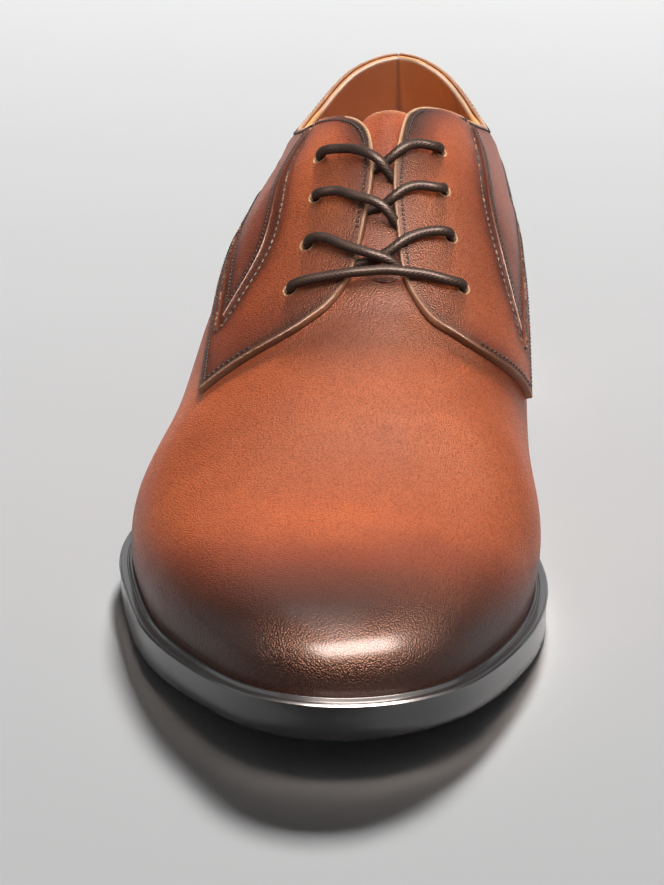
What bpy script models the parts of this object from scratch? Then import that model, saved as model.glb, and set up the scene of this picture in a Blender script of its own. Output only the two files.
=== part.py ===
"""Plain-toe lace-up dress shoe, right foot: upper, quarters, tongue, insole, welt, outsole, heel and lace.

Metres, +Z up, the toe toward -Y, the medial side at +X. The origin is on the floor, under the heel.
Everything that follows the foot is worked out from one surface, the last: a table of ribs that rise
from the feather edge to the spine. A place on it is a station (0 at the toe, 12 at the heel,
negative on the lateral side) and a share of the way up that station's rib.
"""
import math

import bmesh
import bpy
import numpy as np
from mathutils import Vector

MM = 0.001

# The last
LAST_LENGTH = 290 * MM
LAST_WIDTH = 98 * MM
INSTEP_HEIGHT = 95 * MM
HEEL_SEAT = 27.2 * MM
BALL_SEAT = 9.9 * MM
TOE_SEAT = 18.1 * MM
HEEL_CENTRE = 34 * MM

# Leather
UPPER_WALL = 2.0 * MM
QUARTER_WALL = 1.7 * MM
TONGUE_REACH = 11 * MM
TONGUE_SINK = 0.8 * MM
TONGUE_CORNER = 0.22
TONGUE_NARROW = 0.30
CHANNEL_DEPTH = 0.8 * MM
CHANNEL_WIDTH = 3.2 * MM
EYELET_BORE = 3.4 * MM
CUTTER_REACH = 4 * MM
EYELETS = 4

# Sole and heel
WELT_THICKNESS = 2.6 * MM
WELT_LEDGE = 3.7 * MM
WAIST_LEDGE = 1.6 * MM
SOLE_ROUND = 1.4 * MM
INSOLE_THICKNESS = 4.6 * MM
INSOLE_MARGIN = 1.3 * MM
HEEL_TAPER = 2.2 * MM
TOP_PIECE = 6.0 * MM

# Lace
LACE_DIAMETER = 2.8 * MM

# Gaps
SEAT_GAP = 0.3 * MM
LEATHER_GAP = 0.4 * MM
SEAM_GAP = 0.6 * MM

# Lengths are shares of LAST_LENGTH, widths of LAST_WIDTH. The handles wall and crown are shares of a
# rib's chord, and lean and rise are degrees: outward at the feather edge, upward at the spine.
SECTION_COLUMNS = ("along_lat", "across_lat", "along_med", "across_med", "spine_along", "spine_across",
                   "spine_half", "lean_lat", "lean_med", "wall", "crown", "rise")
SECTIONS = (
    (1.000, 0.058, 1.000, 0.058, 0.835, 0.117, 0.000, 6.5, 6.5, 0.37, 0.57, 0),
    (0.985, -0.090, 0.987, 0.200, 0.833, 0.117, 0.000, 6.5, 9, 0.37, 0.57, 0),
    (0.940, -0.218, 0.945, 0.327, 0.827, 0.117, 0.000, 6.5, 9, 0.37, 0.57, 0),
    (0.860, -0.364, 0.870, 0.420, 0.805, 0.117, 0.000, 8, 7.5, 0.39, 0.57, 0),
    (0.770, -0.460, 0.790, 0.478, 0.755, 0.114, 0.000, 12, 7.5, 0.39, 0.55, 0),
    (0.670, -0.518, 0.700, 0.484, 0.685, 0.108, 0.000, 7, 21, 0.40, 0.52, 0),
    (0.570, -0.468, 0.600, 0.418, 0.595, 0.090, 0.000, 13.5, 34, 0.42, 0.43, 0),
    (0.460, -0.424, 0.480, 0.352, 0.490, 0.070, 0.000, 17, 44, 0.44, 0.33, 0),
    (0.350, -0.366, 0.360, 0.304, 0.385, 0.060, 0.018, 14, 40, 0.44, 0.33, 16),
    (0.230, -0.333, 0.230, 0.312, 0.270, 0.038, 0.118, 13, 30, 0.42, 0.39, 55),
    (0.110, -0.290, 0.110, 0.290, 0.150, 0.026, 0.155, 17, 20, 0.42, 0.41, 68),
    (0.030, -0.175, 0.030, 0.185, 0.070, 0.014, 0.102, 17, 18, 0.42, 0.41, 72),
    (0.000, 0.005, 0.000, 0.005, 0.045, 0.005, 0.000, 17, 17, 0.42, 0.41, 72),
)

# Height of the last's ridge: shares of LAST_LENGTH and INSTEP_HEIGHT.
RIDGE_COLUMNS = ("along", "height")
RIDGE = (
    (0.00, 1.090), (0.15, 1.100), (0.28, 1.083), (0.42, 1.003), (0.52, 0.812), (0.61, 0.635),
    (0.69, 0.529), (0.755, 0.442), (0.805, 0.400), (0.835, 0.383), (1.00, 0.239),
)

# Height of the feather edge over BALL_SEAT: shares of the toe's and the heel's rise.
SEAT_COLUMNS = ("along", "toe_rise", "heel_rise")
SEAT = (
    (0.00, 0.00, 1.06), (0.08, 0.00, 1.00), (0.18, 0.00, 0.91), (0.34, 0.00, 0.60), (0.50, 0.00, 0.22),
    (0.62, 0.05, 0.00), (0.74, 0.03, 0.00), (0.86, 0.33, 0.00), (1.00, 1.00, 0.00),
)

# Height of the tread: shares of HEEL_SEAT and of the toe's rise over the ball. Nothing is lower than 0.
TREAD_COLUMNS = ("along", "toe_share", "heel_share")
TREAD = (
    (-0.03, 0.00, 0.80), (0.12, 0.00, 0.73), (0.26, 0.00, 0.62), (0.34, 0.00, 0.48), (0.42, 0.00, 0.31),
    (0.50, 0.00, 0.14), (0.56, 0.00, 0.035), (0.60, 0.00, 0.00), (0.76, 0.00, 0.00), (0.86, 0.36, 0.00),
    (1.03, 1.12, 0.00),
)

# The top line from the facing's corner to the heel: station, and share up the rib on each side.
TOP_COLUMNS = ("station", "lateral", "medial")
TOP_LINE = (
    (8.02, 0.938, 0.985), (8.27, 0.892, 0.968), (8.47, 0.860, 0.926), (8.80, 0.805, 0.864),
    (9.10, 0.762, 0.805), (9.50, 0.700, 0.735), (9.95, 0.655, 0.665), (10.30, 0.680, 0.668),
    (10.60, 0.735, 0.718), (10.90, 0.785, 0.775), (11.20, 0.820, 0.818), (11.60, 0.848, 0.852),
    (12.00, 0.856, 0.856),
)

# The quarter's front edge from its tip to the throat, then the facing's edge up to the top line.
EDGE_COLUMNS = ("station", "up")
LATERAL_FRONT = ((5.56, 0.485), (5.73, 0.618), (5.92, 0.757), (6.13, 0.850))
MEDIAL_FRONT = ((6.50, 0.345), (6.30, 0.490), (6.11, 0.669), (6.12, 0.842))
LATERAL_FACING = (
    (6.13, 0.850), (6.35, 0.900), (6.80, 0.940), (7.20, 0.962), (7.55, 0.970), (7.75, 0.967), (7.90, 0.957),
    (8.02, 0.938),
)
MEDIAL_FACING = (
    (6.12, 0.842), (6.37, 0.920), (6.80, 0.954), (7.20, 0.976), (7.60, 0.986), (7.94, 0.989), (8.15, 0.984),
    (8.27, 0.968),
)

# The quarter's lower edge, from the tip to the back seam.
LATERAL_LOWER = (
    (5.56, 0.485), (5.90, 0.462), (6.40, 0.432), (7.20, 0.425), (8.60, 0.415), (10.4, 0.420),
    (12.0, 0.430),
)
MEDIAL_LOWER = (
    (6.50, 0.345), (6.80, 0.356), (7.20, 0.370), (7.80, 0.388), (8.80, 0.405), (10.4, 0.420),
    (12.0, 0.430),
)

# The sewn channel on each quarter: from the top line forward and down to its point, then back along the side.
LATERAL_CHANNEL_TOP = (
    (8.72, 0.850), (8.30, 0.735), (7.72, 0.675), (7.20, 0.660), (6.86, 0.625), (6.64, 0.570),
    (6.40, 0.496),
)
LATERAL_CHANNEL_LOW = (
    (6.30, 0.490), (6.80, 0.478), (7.60, 0.486), (9.00, 0.486), (10.6, 0.490), (12.2, 0.500),
)
MEDIAL_CHANNEL_TOP = (
    (9.02, 0.850), (8.62, 0.770), (8.10, 0.705), (7.55, 0.665), (7.18, 0.590), (6.94, 0.510),
    (6.80, 0.444),
)
MEDIAL_CHANNEL_LOW = (
    (6.70, 0.426), (7.20, 0.446), (7.80, 0.458), (9.00, 0.472), (10.6, 0.488), (12.2, 0.500),
)

# Eyelets, from the throat up: station and share up the rib on each side.
EYELET_COLUMNS = ("lateral_station", "lateral_up", "medial_station", "medial_up")
EYELET_ROWS = (
    (6.35, 0.744, 6.56, 0.740),
    (6.73, 0.780, 6.92, 0.788),
    (7.15, 0.800, 7.29, 0.828),
    (7.60, 0.812, 7.70, 0.862),
)

THROAT = 6.40
SLOT_END = 0.30
SLOT_SHARE = 0.100
RIB_LENGTH = 80 * MM
HEEL_STATION = 18 * MM
HEEL_FRONT = 9.0

STATIONS = len(SECTIONS) - 1
PATH_SCALE = np.array([0.35, 1.0])
TABLE = np.array(SECTIONS, float)
LOOP = np.arange(-STATIONS, STATIONS + 1)


def natural_spline(knots, values, at):
    """Cubic spline through values at knots, straight at both ends."""
    knots, values, at = (np.asarray(a, float) for a in (knots, values, at))
    count = len(knots)
    span = np.diff(knots)
    matrix = np.eye(count)
    right = np.zeros(values.shape)
    for i in range(1, count - 1):
        matrix[i, i - 1:i + 2] = span[i - 1], 2 * (span[i - 1] + span[i]), span[i]
        after = (values[i + 1] - values[i]) / span[i]
        before = (values[i] - values[i - 1]) / span[i - 1]
        right[i] = 6 * (after - before)
    bend = np.linalg.solve(matrix, right)
    k = np.clip(np.searchsorted(knots, at, side="right") - 1, 0, count - 2)
    tail = (...,) + (None,) * (values.ndim - 1)
    u, v, width = (knots[k + 1] - at)[tail], (at - knots[k])[tail], span[k][tail]
    curved = (bend[k] * u ** 3 + bend[k + 1] * v ** 3) / (6 * width)
    near = (values[k] / width - bend[k] * width / 6) * u
    far = (values[k + 1] / width - bend[k + 1] * width / 6) * v
    return curved + near + far


def easing_spline(knots, values, at):
    """Cubic through values at knots that never overshoots, and is flat between equal values."""
    x, y, at = (np.asarray(a, float) for a in (knots, values, at))
    span = np.diff(x)
    slope = np.diff(y) / span
    tangent = np.zeros(len(x))
    for i in range(1, len(x) - 1):
        if slope[i - 1] * slope[i] > 0:
            w1, w2 = 2 * span[i] + span[i - 1], span[i] + 2 * span[i - 1]
            tangent[i] = (w1 + w2) / (w1 / slope[i - 1] + w2 / slope[i])
    k = np.clip(np.searchsorted(x, at, side="right") - 1, 0, len(x) - 2)
    t = np.clip((at - x[k]) / span[k], 0, 1)
    start = (1 + 2 * t) * (1 - t) ** 2 * y[k] + t * (1 - t) ** 2 * span[k] * tangent[k]
    return start + t ** 2 * (3 - 2 * t) * y[k + 1] + t ** 2 * (t - 1) * span[k] * tangent[k + 1]


def closed_spline(values, at):
    """Smooth closed curve through a loop of values, one a step, the last equal to the first."""
    wrap = 3
    last = len(values) - 1
    padded = np.concatenate([values[last - wrap:last], values, values[1:wrap + 1]])
    return natural_spline(np.arange(-wrap, last + wrap + 1), padded, at)


def smooth_path(points, shares):
    """Places (station, up) at shares of the length of a smooth curve through points."""
    points = np.array(points, float)

    def run_of(path):
        steps = np.linalg.norm(np.diff(path * PATH_SCALE, axis=0), axis=1)
        return np.concatenate([[0], np.cumsum(steps)])

    knots = run_of(points)
    dense = natural_spline(knots, points, np.linspace(0, knots[-1], 200))
    run = run_of(dense)
    return np.stack([np.interp(shares * run[-1], run, dense[:, i]) for i in (0, 1)], -1)


def around(lateral, medial):
    """One value for each station of the loop, from the heel along the lateral side, the toe and back."""
    i, j = SECTION_COLUMNS.index(lateral), SECTION_COLUMNS.index(medial)
    return np.concatenate([TABLE[::-1, i], TABLE[1:, j]])


def seat_height(s):
    """Height of the feather edge over the floor, s from the back of the last."""
    along, toe, heel = np.array(SEAT, float).T
    rise = BALL_SEAT + toe * (TOE_SEAT - BALL_SEAT) + heel * (HEEL_SEAT - BALL_SEAT)
    return natural_spline(along, rise, np.asarray(s) / LAST_LENGTH)


def ridge_height(s):
    """Height of the last's ridge over the floor."""
    along, height = np.array(RIDGE, float).T
    return natural_spline(along, height * INSTEP_HEIGHT, np.asarray(s) / LAST_LENGTH)


def tread_height(s):
    """Height of the outsole's underside over the floor, flat under the ball."""
    along, toe, heel = np.array(TREAD, float).T
    height = toe * (TOE_SEAT - BALL_SEAT) + heel * HEEL_SEAT
    return easing_spline(along, height, np.asarray(s) / LAST_LENGTH)


def feather(t):
    """The last's lower edge, as (across, along)."""
    across = around("across_lat", "across_med") * LAST_WIDTH
    along = around("along_lat", "along_med") * LAST_LENGTH
    return closed_spline(np.column_stack([across, along]), np.asarray(t, float) + STATIONS)


def ribs(t):
    """The four Bezier points of the rib at each t, as (across, along, height)."""
    t = np.asarray(t, float)
    edge = feather(t)
    side = np.where(LOOP < 0, -1.0, 1.0)
    along = easing_spline(LOOP, around("spine_along", "spine_along"), t) * LAST_LENGTH
    middle = easing_spline(LOOP, around("spine_across", "spine_across"), t) * LAST_WIDTH
    half = easing_spline(LOOP, around("spine_half", "spine_half") * side, t) * LAST_WIDTH
    top = ridge_height(along)
    step = 0.2 * MM
    slope = (ridge_height(along + step) - top) / step
    foot = np.stack([edge[..., 0], edge[..., 1], seat_height(edge[..., 1])], -1)
    head = np.stack([middle + half, along, top], -1)
    chord = np.linalg.norm(head - foot, axis=-1)[..., None]
    inward = (head - foot)[..., :2]
    inward = inward / np.linalg.norm(inward, axis=-1)[..., None]
    lean = np.radians(easing_spline(LOOP, around("lean_lat", "lean_med"), t))[..., None]
    rise = np.radians(easing_spline(LOOP, around("rise", "rise"), t))
    wall = easing_spline(LOOP, around("wall", "wall"), t)[..., None]
    crown = easing_spline(LOOP, around("crown", "crown"), t)[..., None]
    up = np.concatenate([-np.sin(lean) * inward, np.cos(lean)], -1)
    climb = np.tan(rise) + slope * inward[..., 1] * np.clip(1 - rise / math.radians(30), 0, 1)
    over = np.concatenate([inward, climb[..., None]], -1)
    over = over / np.linalg.norm(over, axis=-1)[..., None]
    return foot, foot + wall * chord * up, head - crown * chord * over, head


def on_last(t, h):
    """Points of the last, in the shoe's frame, at loop positions t and shares h up the ribs."""
    a, b, c, d = ribs(t)
    h = np.asarray(h, float)[..., None]
    points = (1 - h) ** 3 * a + 3 * h * (1 - h) ** 2 * b + 3 * h ** 2 * (1 - h) * c + h ** 3 * d
    points[..., 1] = HEEL_CENTRE - points[..., 1]
    return points


def outward(t, h):
    """Directions straight out of the last. Where the ridge's stations meet, that of a place just below."""
    e = 1e-3
    along = on_last(t + e, h) - on_last(t - e, h)
    up = on_last(t, np.minimum(h + e, 1)) - on_last(t, np.maximum(h - e, 0))
    normal = np.cross(along, up)
    length = np.linalg.norm(normal, axis=-1)
    meeting = length < 1e-15
    if meeting.any():
        normal[meeting] = outward(t[meeting], h[meeting] - 10 * e)
        length[meeting] = 1
    return normal / length[..., None]


def skin(t, h, lift=0.0):
    """Points lift outside the last."""
    t, h, lift = (a.astype(float) for a in np.broadcast_arrays(t, h, lift))
    return on_last(t, h) + outward(t, h) * lift[..., None]


def edge_line(t, out):
    """The feather line moved outward by out, as (across, along) in the shoe's frame."""
    t = np.asarray(t, float)
    e = 1e-3
    before, after = (feather(np.where(abs(v) > STATIONS, v - np.sign(v) * 2 * STATIONS, v)) for v in (t - e, t + e))
    run = after - before
    run = run / np.linalg.norm(run, axis=-1)[..., None]
    line = feather(t) + np.stack([-run[..., 1], run[..., 0]], -1) * np.asarray(out)[..., None]
    return np.stack([line[..., 0], HEEL_CENTRE - line[..., 1]], -1)


def material(name, colour, roughness):
    made = bpy.data.materials.new(name)
    made.use_nodes = True
    shader = made.node_tree.nodes["Principled BSDF"]
    shader.inputs["Base Color"].default_value = (*colour, 1)
    shader.inputs["Roughness"].default_value = roughness
    return made


def new_object(name, vertices, faces, collection, finish):
    """A mesh object with its faces shaded smooth."""
    mesh = bpy.data.meshes.new(name)
    mesh.from_pydata([tuple(v) for v in vertices], [], faces)
    made = bpy.data.objects.new(name, mesh)
    collection.objects.link(made)
    if finish:
        made.data.materials.append(finish)
    mesh.shade_smooth()
    mesh.set_sharp_from_angle(angle=math.radians(35))
    return made


def grid_faces(rows, columns, closed=False, flip=False):
    """Quads of a grid of points, closed from its last row to its first where asked."""
    faces = []
    for i in range(rows if closed else rows - 1):
        for j in range(columns - 1):
            a, b = i * columns + j, (i + 1) % rows * columns + j
            quad = (a, b, b + 1, a + 1)
            faces.append(quad[::-1] if flip else quad)
    return faces


def merge_points(made, distance=0.001 * MM):
    work = bmesh.new()
    work.from_mesh(made.data)
    bmesh.ops.remove_doubles(work, verts=work.verts, dist=distance)
    work.to_mesh(made.data)
    work.free()


def leather_shell(name, points, thickness, collection, finish, closed=False, flip=False):
    """A wall that grows outward from a grid of points."""
    rows, columns = points.shape[:2]
    made = new_object(name, points.reshape(-1, 3), grid_faces(rows, columns, closed, flip), collection, finish)
    merge_points(made)
    wall = made.modifiers.new("wall", "SOLIDIFY")
    wall.thickness = thickness
    wall.offset = 1
    wall.use_even_offset = True
    return made


def ring_solid(name, loops, collection, finish):
    """A solid between closed loops of points, each joined to the next and the last to the first."""
    loops = np.array(loops)
    count, around_count = loops.shape[:2]
    faces = []
    for k in range(count):
        low, high = k * around_count, (k + 1) % count * around_count
        for i in range(around_count):
            j = (i + 1) % around_count
            faces.append((low + i, low + j, high + j, high + i))
    return new_object(name, loops.reshape(-1, 3), faces, collection, finish)


def plate_solid(name, stations, profile, across, collection, finish):
    """A plate with the last's plan. profile lists (out, height) pairs, functions of the station, from the
    underside's rim round the edge to the top's rim; the faces run straight from side to side."""
    laterals, medials = -stations, stations
    rings = []
    for out, height in profile:
        left, right = edge_line(laterals, out(stations)), edge_line(medials, out(stations))
        rings.append((left, right, height))
    under, over = rings[0], rings[-1]

    def sheet(ring):
        left, right, height = ring
        share = np.linspace(0, 1, across)[None, :, None]
        flat = left[:, None] * (1 - share) + right[:, None] * share
        z = height(HEEL_CENTRE - flat[..., 1])
        return np.concatenate([flat, z[..., None]], -1)

    bottom, top = sheet(under), sheet(over)
    vertices = np.concatenate([bottom.reshape(-1, 3), top.reshape(-1, 3)])
    rows = len(stations)
    faces = grid_faces(rows, across, flip=True)
    faces += [tuple(v + rows * across for v in quad) for quad in grid_faces(rows, across)]
    border = [i * across for i in range(rows)]
    border += [(rows - 1) * across + j for j in range(1, across)]
    border += [i * across + across - 1 for i in range(rows - 2, -1, -1)]
    border += [j for j in range(across - 2, 0, -1)]
    previous = border
    for ring in rings[1:-1]:
        level = sheet(ring).reshape(-1, 3)[border]
        base = len(vertices)
        vertices = np.concatenate([vertices, level])
        current = list(range(base, base + len(border)))
        faces += [(a, b, d, c) for a, b, c, d in zip(previous, previous[1:] + previous[:1], current, current[1:] + current[:1])]
        previous = current
    current = [v + rows * across for v in border]
    faces += [(a, b, d, c) for a, b, c, d in zip(previous, previous[1:] + previous[:1], current, current[1:] + current[:1])]
    made = new_object(name, vertices, faces, collection, finish)
    merge_points(made)
    return made


def face_outward(made):
    """Turn the faces of a closed mesh so that they point out."""
    work = bmesh.new()
    work.from_mesh(made.data)
    bmesh.ops.recalc_face_normals(work, faces=work.faces)
    work.to_mesh(made.data)
    work.free()


def cut_with(made, cutter):
    cut = made.modifiers.new("cut " + cutter.name, "BOOLEAN")
    cut.operation = "DIFFERENCE"
    cut.object = cutter


def top_share(station, side):
    """Share up the rib of the top line at a station, on a side."""
    stations, lateral, medial = np.array(TOP_LINE, float).T
    return easing_spline(stations, lateral if side < 0 else medial, station)


def slot_share(station):
    """Share up the rib of the edge of the upper's throat opening, round at its front end."""
    run = np.clip((np.abs(station) - THROAT) / SLOT_END, 0, 1)
    return 1 - SLOT_SHARE * np.sqrt(run * (2 - run))


def upper_top(t):
    """Share up the rib where the upper ends: the ridge in front, then the throat's edge, then the top line."""
    station = np.abs(t)
    line = np.where(t < 0, top_share(station, -1), top_share(station, 1))
    line = np.where(station < TOP_LINE[1][0], 1.0, line)
    return np.where(station <= THROAT, 1.0, np.minimum(slot_share(station), line))


def foot_share(t):
    """Share up the rib where the wall starts, so that its outer corner clears the welt."""
    foot, handle, _, _ = ribs(t)
    climb = 3 * (handle - foot)[..., 2]
    lean = np.radians(easing_spline(LOOP, around("lean_lat", "lean_med"), t))
    return (SEAT_GAP + UPPER_WALL * np.sin(lean)) / climb


def make_upper(collection, finish):
    front = np.concatenate([np.linspace(0, 5.7, 16), [6.05, THROAT]])
    back = np.concatenate([THROAT + np.array([0.02, 0.08, 0.18, 0.32]), np.linspace(7.0, 11.7, 18)])
    half = np.concatenate([front, back])
    t = np.concatenate([-STATIONS + np.zeros(1), -half[::-1], half[1:]])
    share = np.linspace(0, 1, 12)[None, :]
    low, high = foot_share(t)[:, None], upper_top(t)[:, None]
    rows = low + (1 - low) * share - (1 - high) * share ** 2.5
    points = skin(t[:, None] + 0 * share, rows)
    return leather_shell("upper", points, UPPER_WALL, collection, finish, closed=True)


def patch(low, back, top, front, u, v):
    """Places (station, up) of a grid between four edges: low and top run back, front and back run up."""
    low, top = smooth_path(low, u)[:, None], smooth_path(top, u)[:, None]
    front, back = smooth_path(front, v)[None], smooth_path(back, v)[None]
    u, v = u[:, None, None], v[None, :, None]
    between = (1 - v) * low + v * top + (1 - u) * front + u * back
    corners = (1 - u) * (1 - v) * low[0] + u * (1 - v) * low[-1] + (1 - u) * v * top[0] + u * v * top[-1]
    return between - corners


def make_quarter(name, side, front, facing, lower, collection, finish):
    """One side's panel: its front edge, facing, top line, back seam and lower edge round one grid."""
    seam = STATIONS - SEAM_GAP / 2 / HEEL_STATION
    column = 1 if side < 0 else 2
    line = [(row[0], row[column]) for row in TOP_LINE if row[0] > facing[-1][0] + 0.05]
    line[-1] = (seam, line[-1][1])
    lower = [*lower[:-1], (seam, lower[-1][1])]
    back = [(seam, lower[-1][1]), (seam, (lower[-1][1] + line[-1][1]) / 2), line[-1]]
    u = np.concatenate([np.linspace(0, 0.46, 15), np.linspace(0.46, 1, 11)[1:]])
    places = patch(lower, back, [*facing, *line], front, u, np.linspace(0, 1, 13))
    points = skin(side * places[..., 0], places[..., 1], UPPER_WALL + LEATHER_GAP)
    return leather_shell(name, points, QUARTER_WALL, collection, finish, flip=side < 0)


def channel_cutter(name, side, line, collection):
    """A ribbon that follows line, sunk CHANNEL_DEPTH into the quarter and standing out of it."""
    places = smooth_path(line, np.linspace(0, 1, 16))
    floor = UPPER_WALL + LEATHER_GAP + QUARTER_WALL - CHANNEL_DEPTH
    t, h = side * places[:, 0], places[:, 1]
    middle, above = skin(t, h, floor), skin(t, h, floor + CUTTER_REACH)
    run = np.gradient(middle, axis=0)
    out = above - middle
    out = out / np.linalg.norm(out, axis=1)[:, None]
    across = np.cross(out, run)
    across = across / np.linalg.norm(across, axis=1)[:, None] * CHANNEL_WIDTH / 2
    rings = np.stack([middle - across, middle + across, above + across, above - across], 1)
    faces = [tuple(range(4))[::-1], tuple(4 * (len(rings) - 1) + k for k in range(4))]
    for i in range(len(rings) - 1):
        for k in range(4):
            a, b = 4 * i + k, 4 * i + (k + 1) % 4
            faces.append((a, b, b + 4, a + 4))
    cutter = new_object(name, rings.reshape(-1, 3), faces, collection, None)
    face_outward(cutter)
    cutter.hide_render = True
    cutter.display_type = "WIRE"
    return cutter


def eyelet_spot(row, side):
    """Station and share up the rib of an eyelet."""
    return EYELET_ROWS[row][:2] if side < 0 else EYELET_ROWS[row][2:]


def eyelet_place(row, side):
    """Centre on the quarter's outer face and outward direction of an eyelet."""
    station, h = eyelet_spot(row, side)
    centre = skin(side * station, h, UPPER_WALL + LEATHER_GAP + QUARTER_WALL)
    out = centre - skin(side * station, h, 0)
    return centre, out / np.linalg.norm(out)


def eyelet_cutter(row, side, collection):
    centre, out = eyelet_place(row, side)
    name = f"bore_{'lateral' if side < 0 else 'medial'}_{row + 1}"
    mesh = bpy.data.meshes.new(name)
    work = bmesh.new()
    bmesh.ops.create_cone(work, cap_ends=True, segments=12,
                          radius1=EYELET_BORE / 2, radius2=EYELET_BORE / 2,
                          depth=2 * (CUTTER_REACH + UPPER_WALL + QUARTER_WALL))
    work.to_mesh(mesh)
    work.free()
    cutter = bpy.data.objects.new(name, mesh)
    cutter.location = Vector(centre)
    cutter.rotation_mode = "QUATERNION"
    cutter.rotation_quaternion = Vector(out).to_track_quat("Z", "Y")
    collection.objects.link(cutter)
    cutter.hide_render = True
    cutter.display_type = "WIRE"
    return cutter


def make_tongue(collection, finish):
    """Fills the throat opening, level with the upper's wall, and goes on straight past the facings."""
    stations = THROAT + 0.05 + np.array([0, 0.06, 0.18, 0.40, 0.68, 0.96, 1.22, 1.45])
    rows = []
    for station in stations:
        edge = slot_share(np.array(station)) + SEAM_GAP / RIB_LENGTH
        shares = np.linspace(edge, 1, 5)
        lift = -TONGUE_SINK * np.clip((station - stations[2]) / 0.6, 0, 1)
        left, right = (skin(np.full(5, side * station), shares, lift) for side in (-1, 1))
        rows.append(np.concatenate([left, right[-2::-1]]))
    rows = np.array(rows)
    ahead = (rows[-1] - rows[-3]).mean(axis=0)
    ahead = ahead / np.linalg.norm(ahead)
    side_share = np.abs(np.linspace(-1, 1, rows.shape[1]))
    corner = TONGUE_REACH * (1 - TONGUE_CORNER * side_share ** 4)
    centre = rows[-1].mean(axis=0)
    tails = []
    for share in (0.30, 0.60, 0.82, 0.94, 1.0):
        narrow = 1 - TONGUE_NARROW * share ** 2
        row = centre + (rows[-1] - centre) * [narrow, 1, 1] + ahead * (corner * share)[:, None]
        tails.append(row)
    return leather_shell("tongue", np.concatenate([rows, tails]), UPPER_WALL, collection, finish, flip=True)


def ledge(stations):
    """How far the welt's edge stands out from the last, narrower at the waist."""
    waist = np.exp(-((np.asarray(stations) - 8.2) / 1.6) ** 2)
    return UPPER_WALL + WELT_LEDGE - waist * (WELT_LEDGE - WAIST_LEDGE)


def make_welt(collection, finish):
    t = np.linspace(-STATIONS, STATIONS, 85)[:-1]
    inner, outer = -0.6 * MM + 0 * t, ledge(np.abs(t))
    loops = []
    for out, drop in ((inner, WELT_THICKNESS), (outer - 0.5 * MM, WELT_THICKNESS), (outer, WELT_THICKNESS / 2),
                      (outer - 0.4 * MM, 0.0), (inner, 0.0)):
        line = edge_line(t, out)
        z = seat_height(HEEL_CENTRE - line[:, 1]) - drop
        loops.append(np.column_stack([line, z]))
    made = ring_solid("welt", loops, collection, finish)
    face_outward(made)
    return made


def make_insole(collection, finish):
    stations = np.concatenate([[0.0, 0.25, 0.6], np.linspace(1, 11, 19), [11.4, 11.75, 12.0]])
    margin = lambda s: 0 * s - INSOLE_MARGIN
    under = lambda s: seat_height(s) - WELT_THICKNESS
    over = lambda s: under(s) + INSOLE_THICKNESS
    made = plate_solid("insole", stations, ((margin, under), (margin, over)), 5, collection, finish)
    face_outward(made)
    return made


def make_outsole(collection, finish):
    stations = np.concatenate([[0.0, 0.2, 0.5], np.linspace(0.9, 11.1, 28), [11.45, 11.75, 12.0]])
    top = lambda s: seat_height(s) - WELT_THICKNESS - SEAT_GAP
    bottom = tread_height
    profile = (
        (lambda k: ledge(k) - SOLE_ROUND - 0.4 * MM, bottom),
        (lambda k: ledge(k) - 0.35 * SOLE_ROUND - 0.4 * MM, lambda s: bottom(s) + 0.35 * SOLE_ROUND),
        (lambda k: ledge(k) - 0.2 * MM, lambda s: bottom(s) + SOLE_ROUND),
        (lambda k: ledge(k), lambda s: top(s) - 0.8 * MM),
        (lambda k: ledge(k) - 0.4 * MM, top),
    )
    made = plate_solid("outsole", stations, profile, 5, collection, finish)
    face_outward(made)
    return made


def make_heel(collection, finish, rubber):
    """The heel block and its top piece, from the station HEEL_FRONT to the back."""
    stations = np.concatenate([np.linspace(HEEL_FRONT, 11.1, 11), [11.45, 11.75, 12.0]])
    split = TOP_PIECE
    top = lambda s: tread_height(s) - SEAT_GAP

    def taper(height_share):
        return lambda k: ledge(k) - 0.6 * MM - HEEL_TAPER * (1 - height_share)

    block = plate_solid("heel", stations, ((taper(0.3), lambda s: 0 * s + split + SEAT_GAP), (taper(1.0), top)),
                        5, collection, finish)
    piece = plate_solid("top_piece", stations, ((taper(0.0), lambda s: 0 * s), (taper(0.3), lambda s: 0 * s + split)),
                        5, collection, rubber)
    for made in (block, piece):
        face_outward(made)


def lace_tube(name, points, collection, finish):
    curve = bpy.data.curves.new(name, "CURVE")
    curve.dimensions = "3D"
    curve.bevel_depth = LACE_DIAMETER / 2
    curve.bevel_resolution = 1
    curve.use_fill_caps = True
    spline = curve.splines.new("POLY")
    spline.points.add(len(points) - 1)
    for point, place in zip(spline.points, points):
        point.co = (*place, 1)
    made = bpy.data.objects.new(name, curve)
    collection.objects.link(made)
    return as_mesh(made, finish)


def as_mesh(curve_object, finish):
    """The closed mesh of a curve object, in its place."""
    graph = bpy.context.evaluated_depsgraph_get()
    mesh = bpy.data.meshes.new_from_object(curve_object.evaluated_get(graph))
    work = bmesh.new()
    work.from_mesh(mesh)
    bmesh.ops.remove_doubles(work, verts=work.verts, dist=0.01 * MM)
    bmesh.ops.recalc_face_normals(work, faces=work.faces)
    work.to_mesh(mesh)
    work.free()
    name, place, collection = curve_object.name, curve_object.matrix_world.copy(), curve_object.users_collection[0]
    bpy.data.objects.remove(curve_object)
    made = bpy.data.objects.new(name, mesh)
    made.matrix_world = place
    mesh.materials.clear()
    mesh.materials.append(finish)
    mesh.shade_smooth()
    collection.objects.link(made)
    return made


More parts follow.
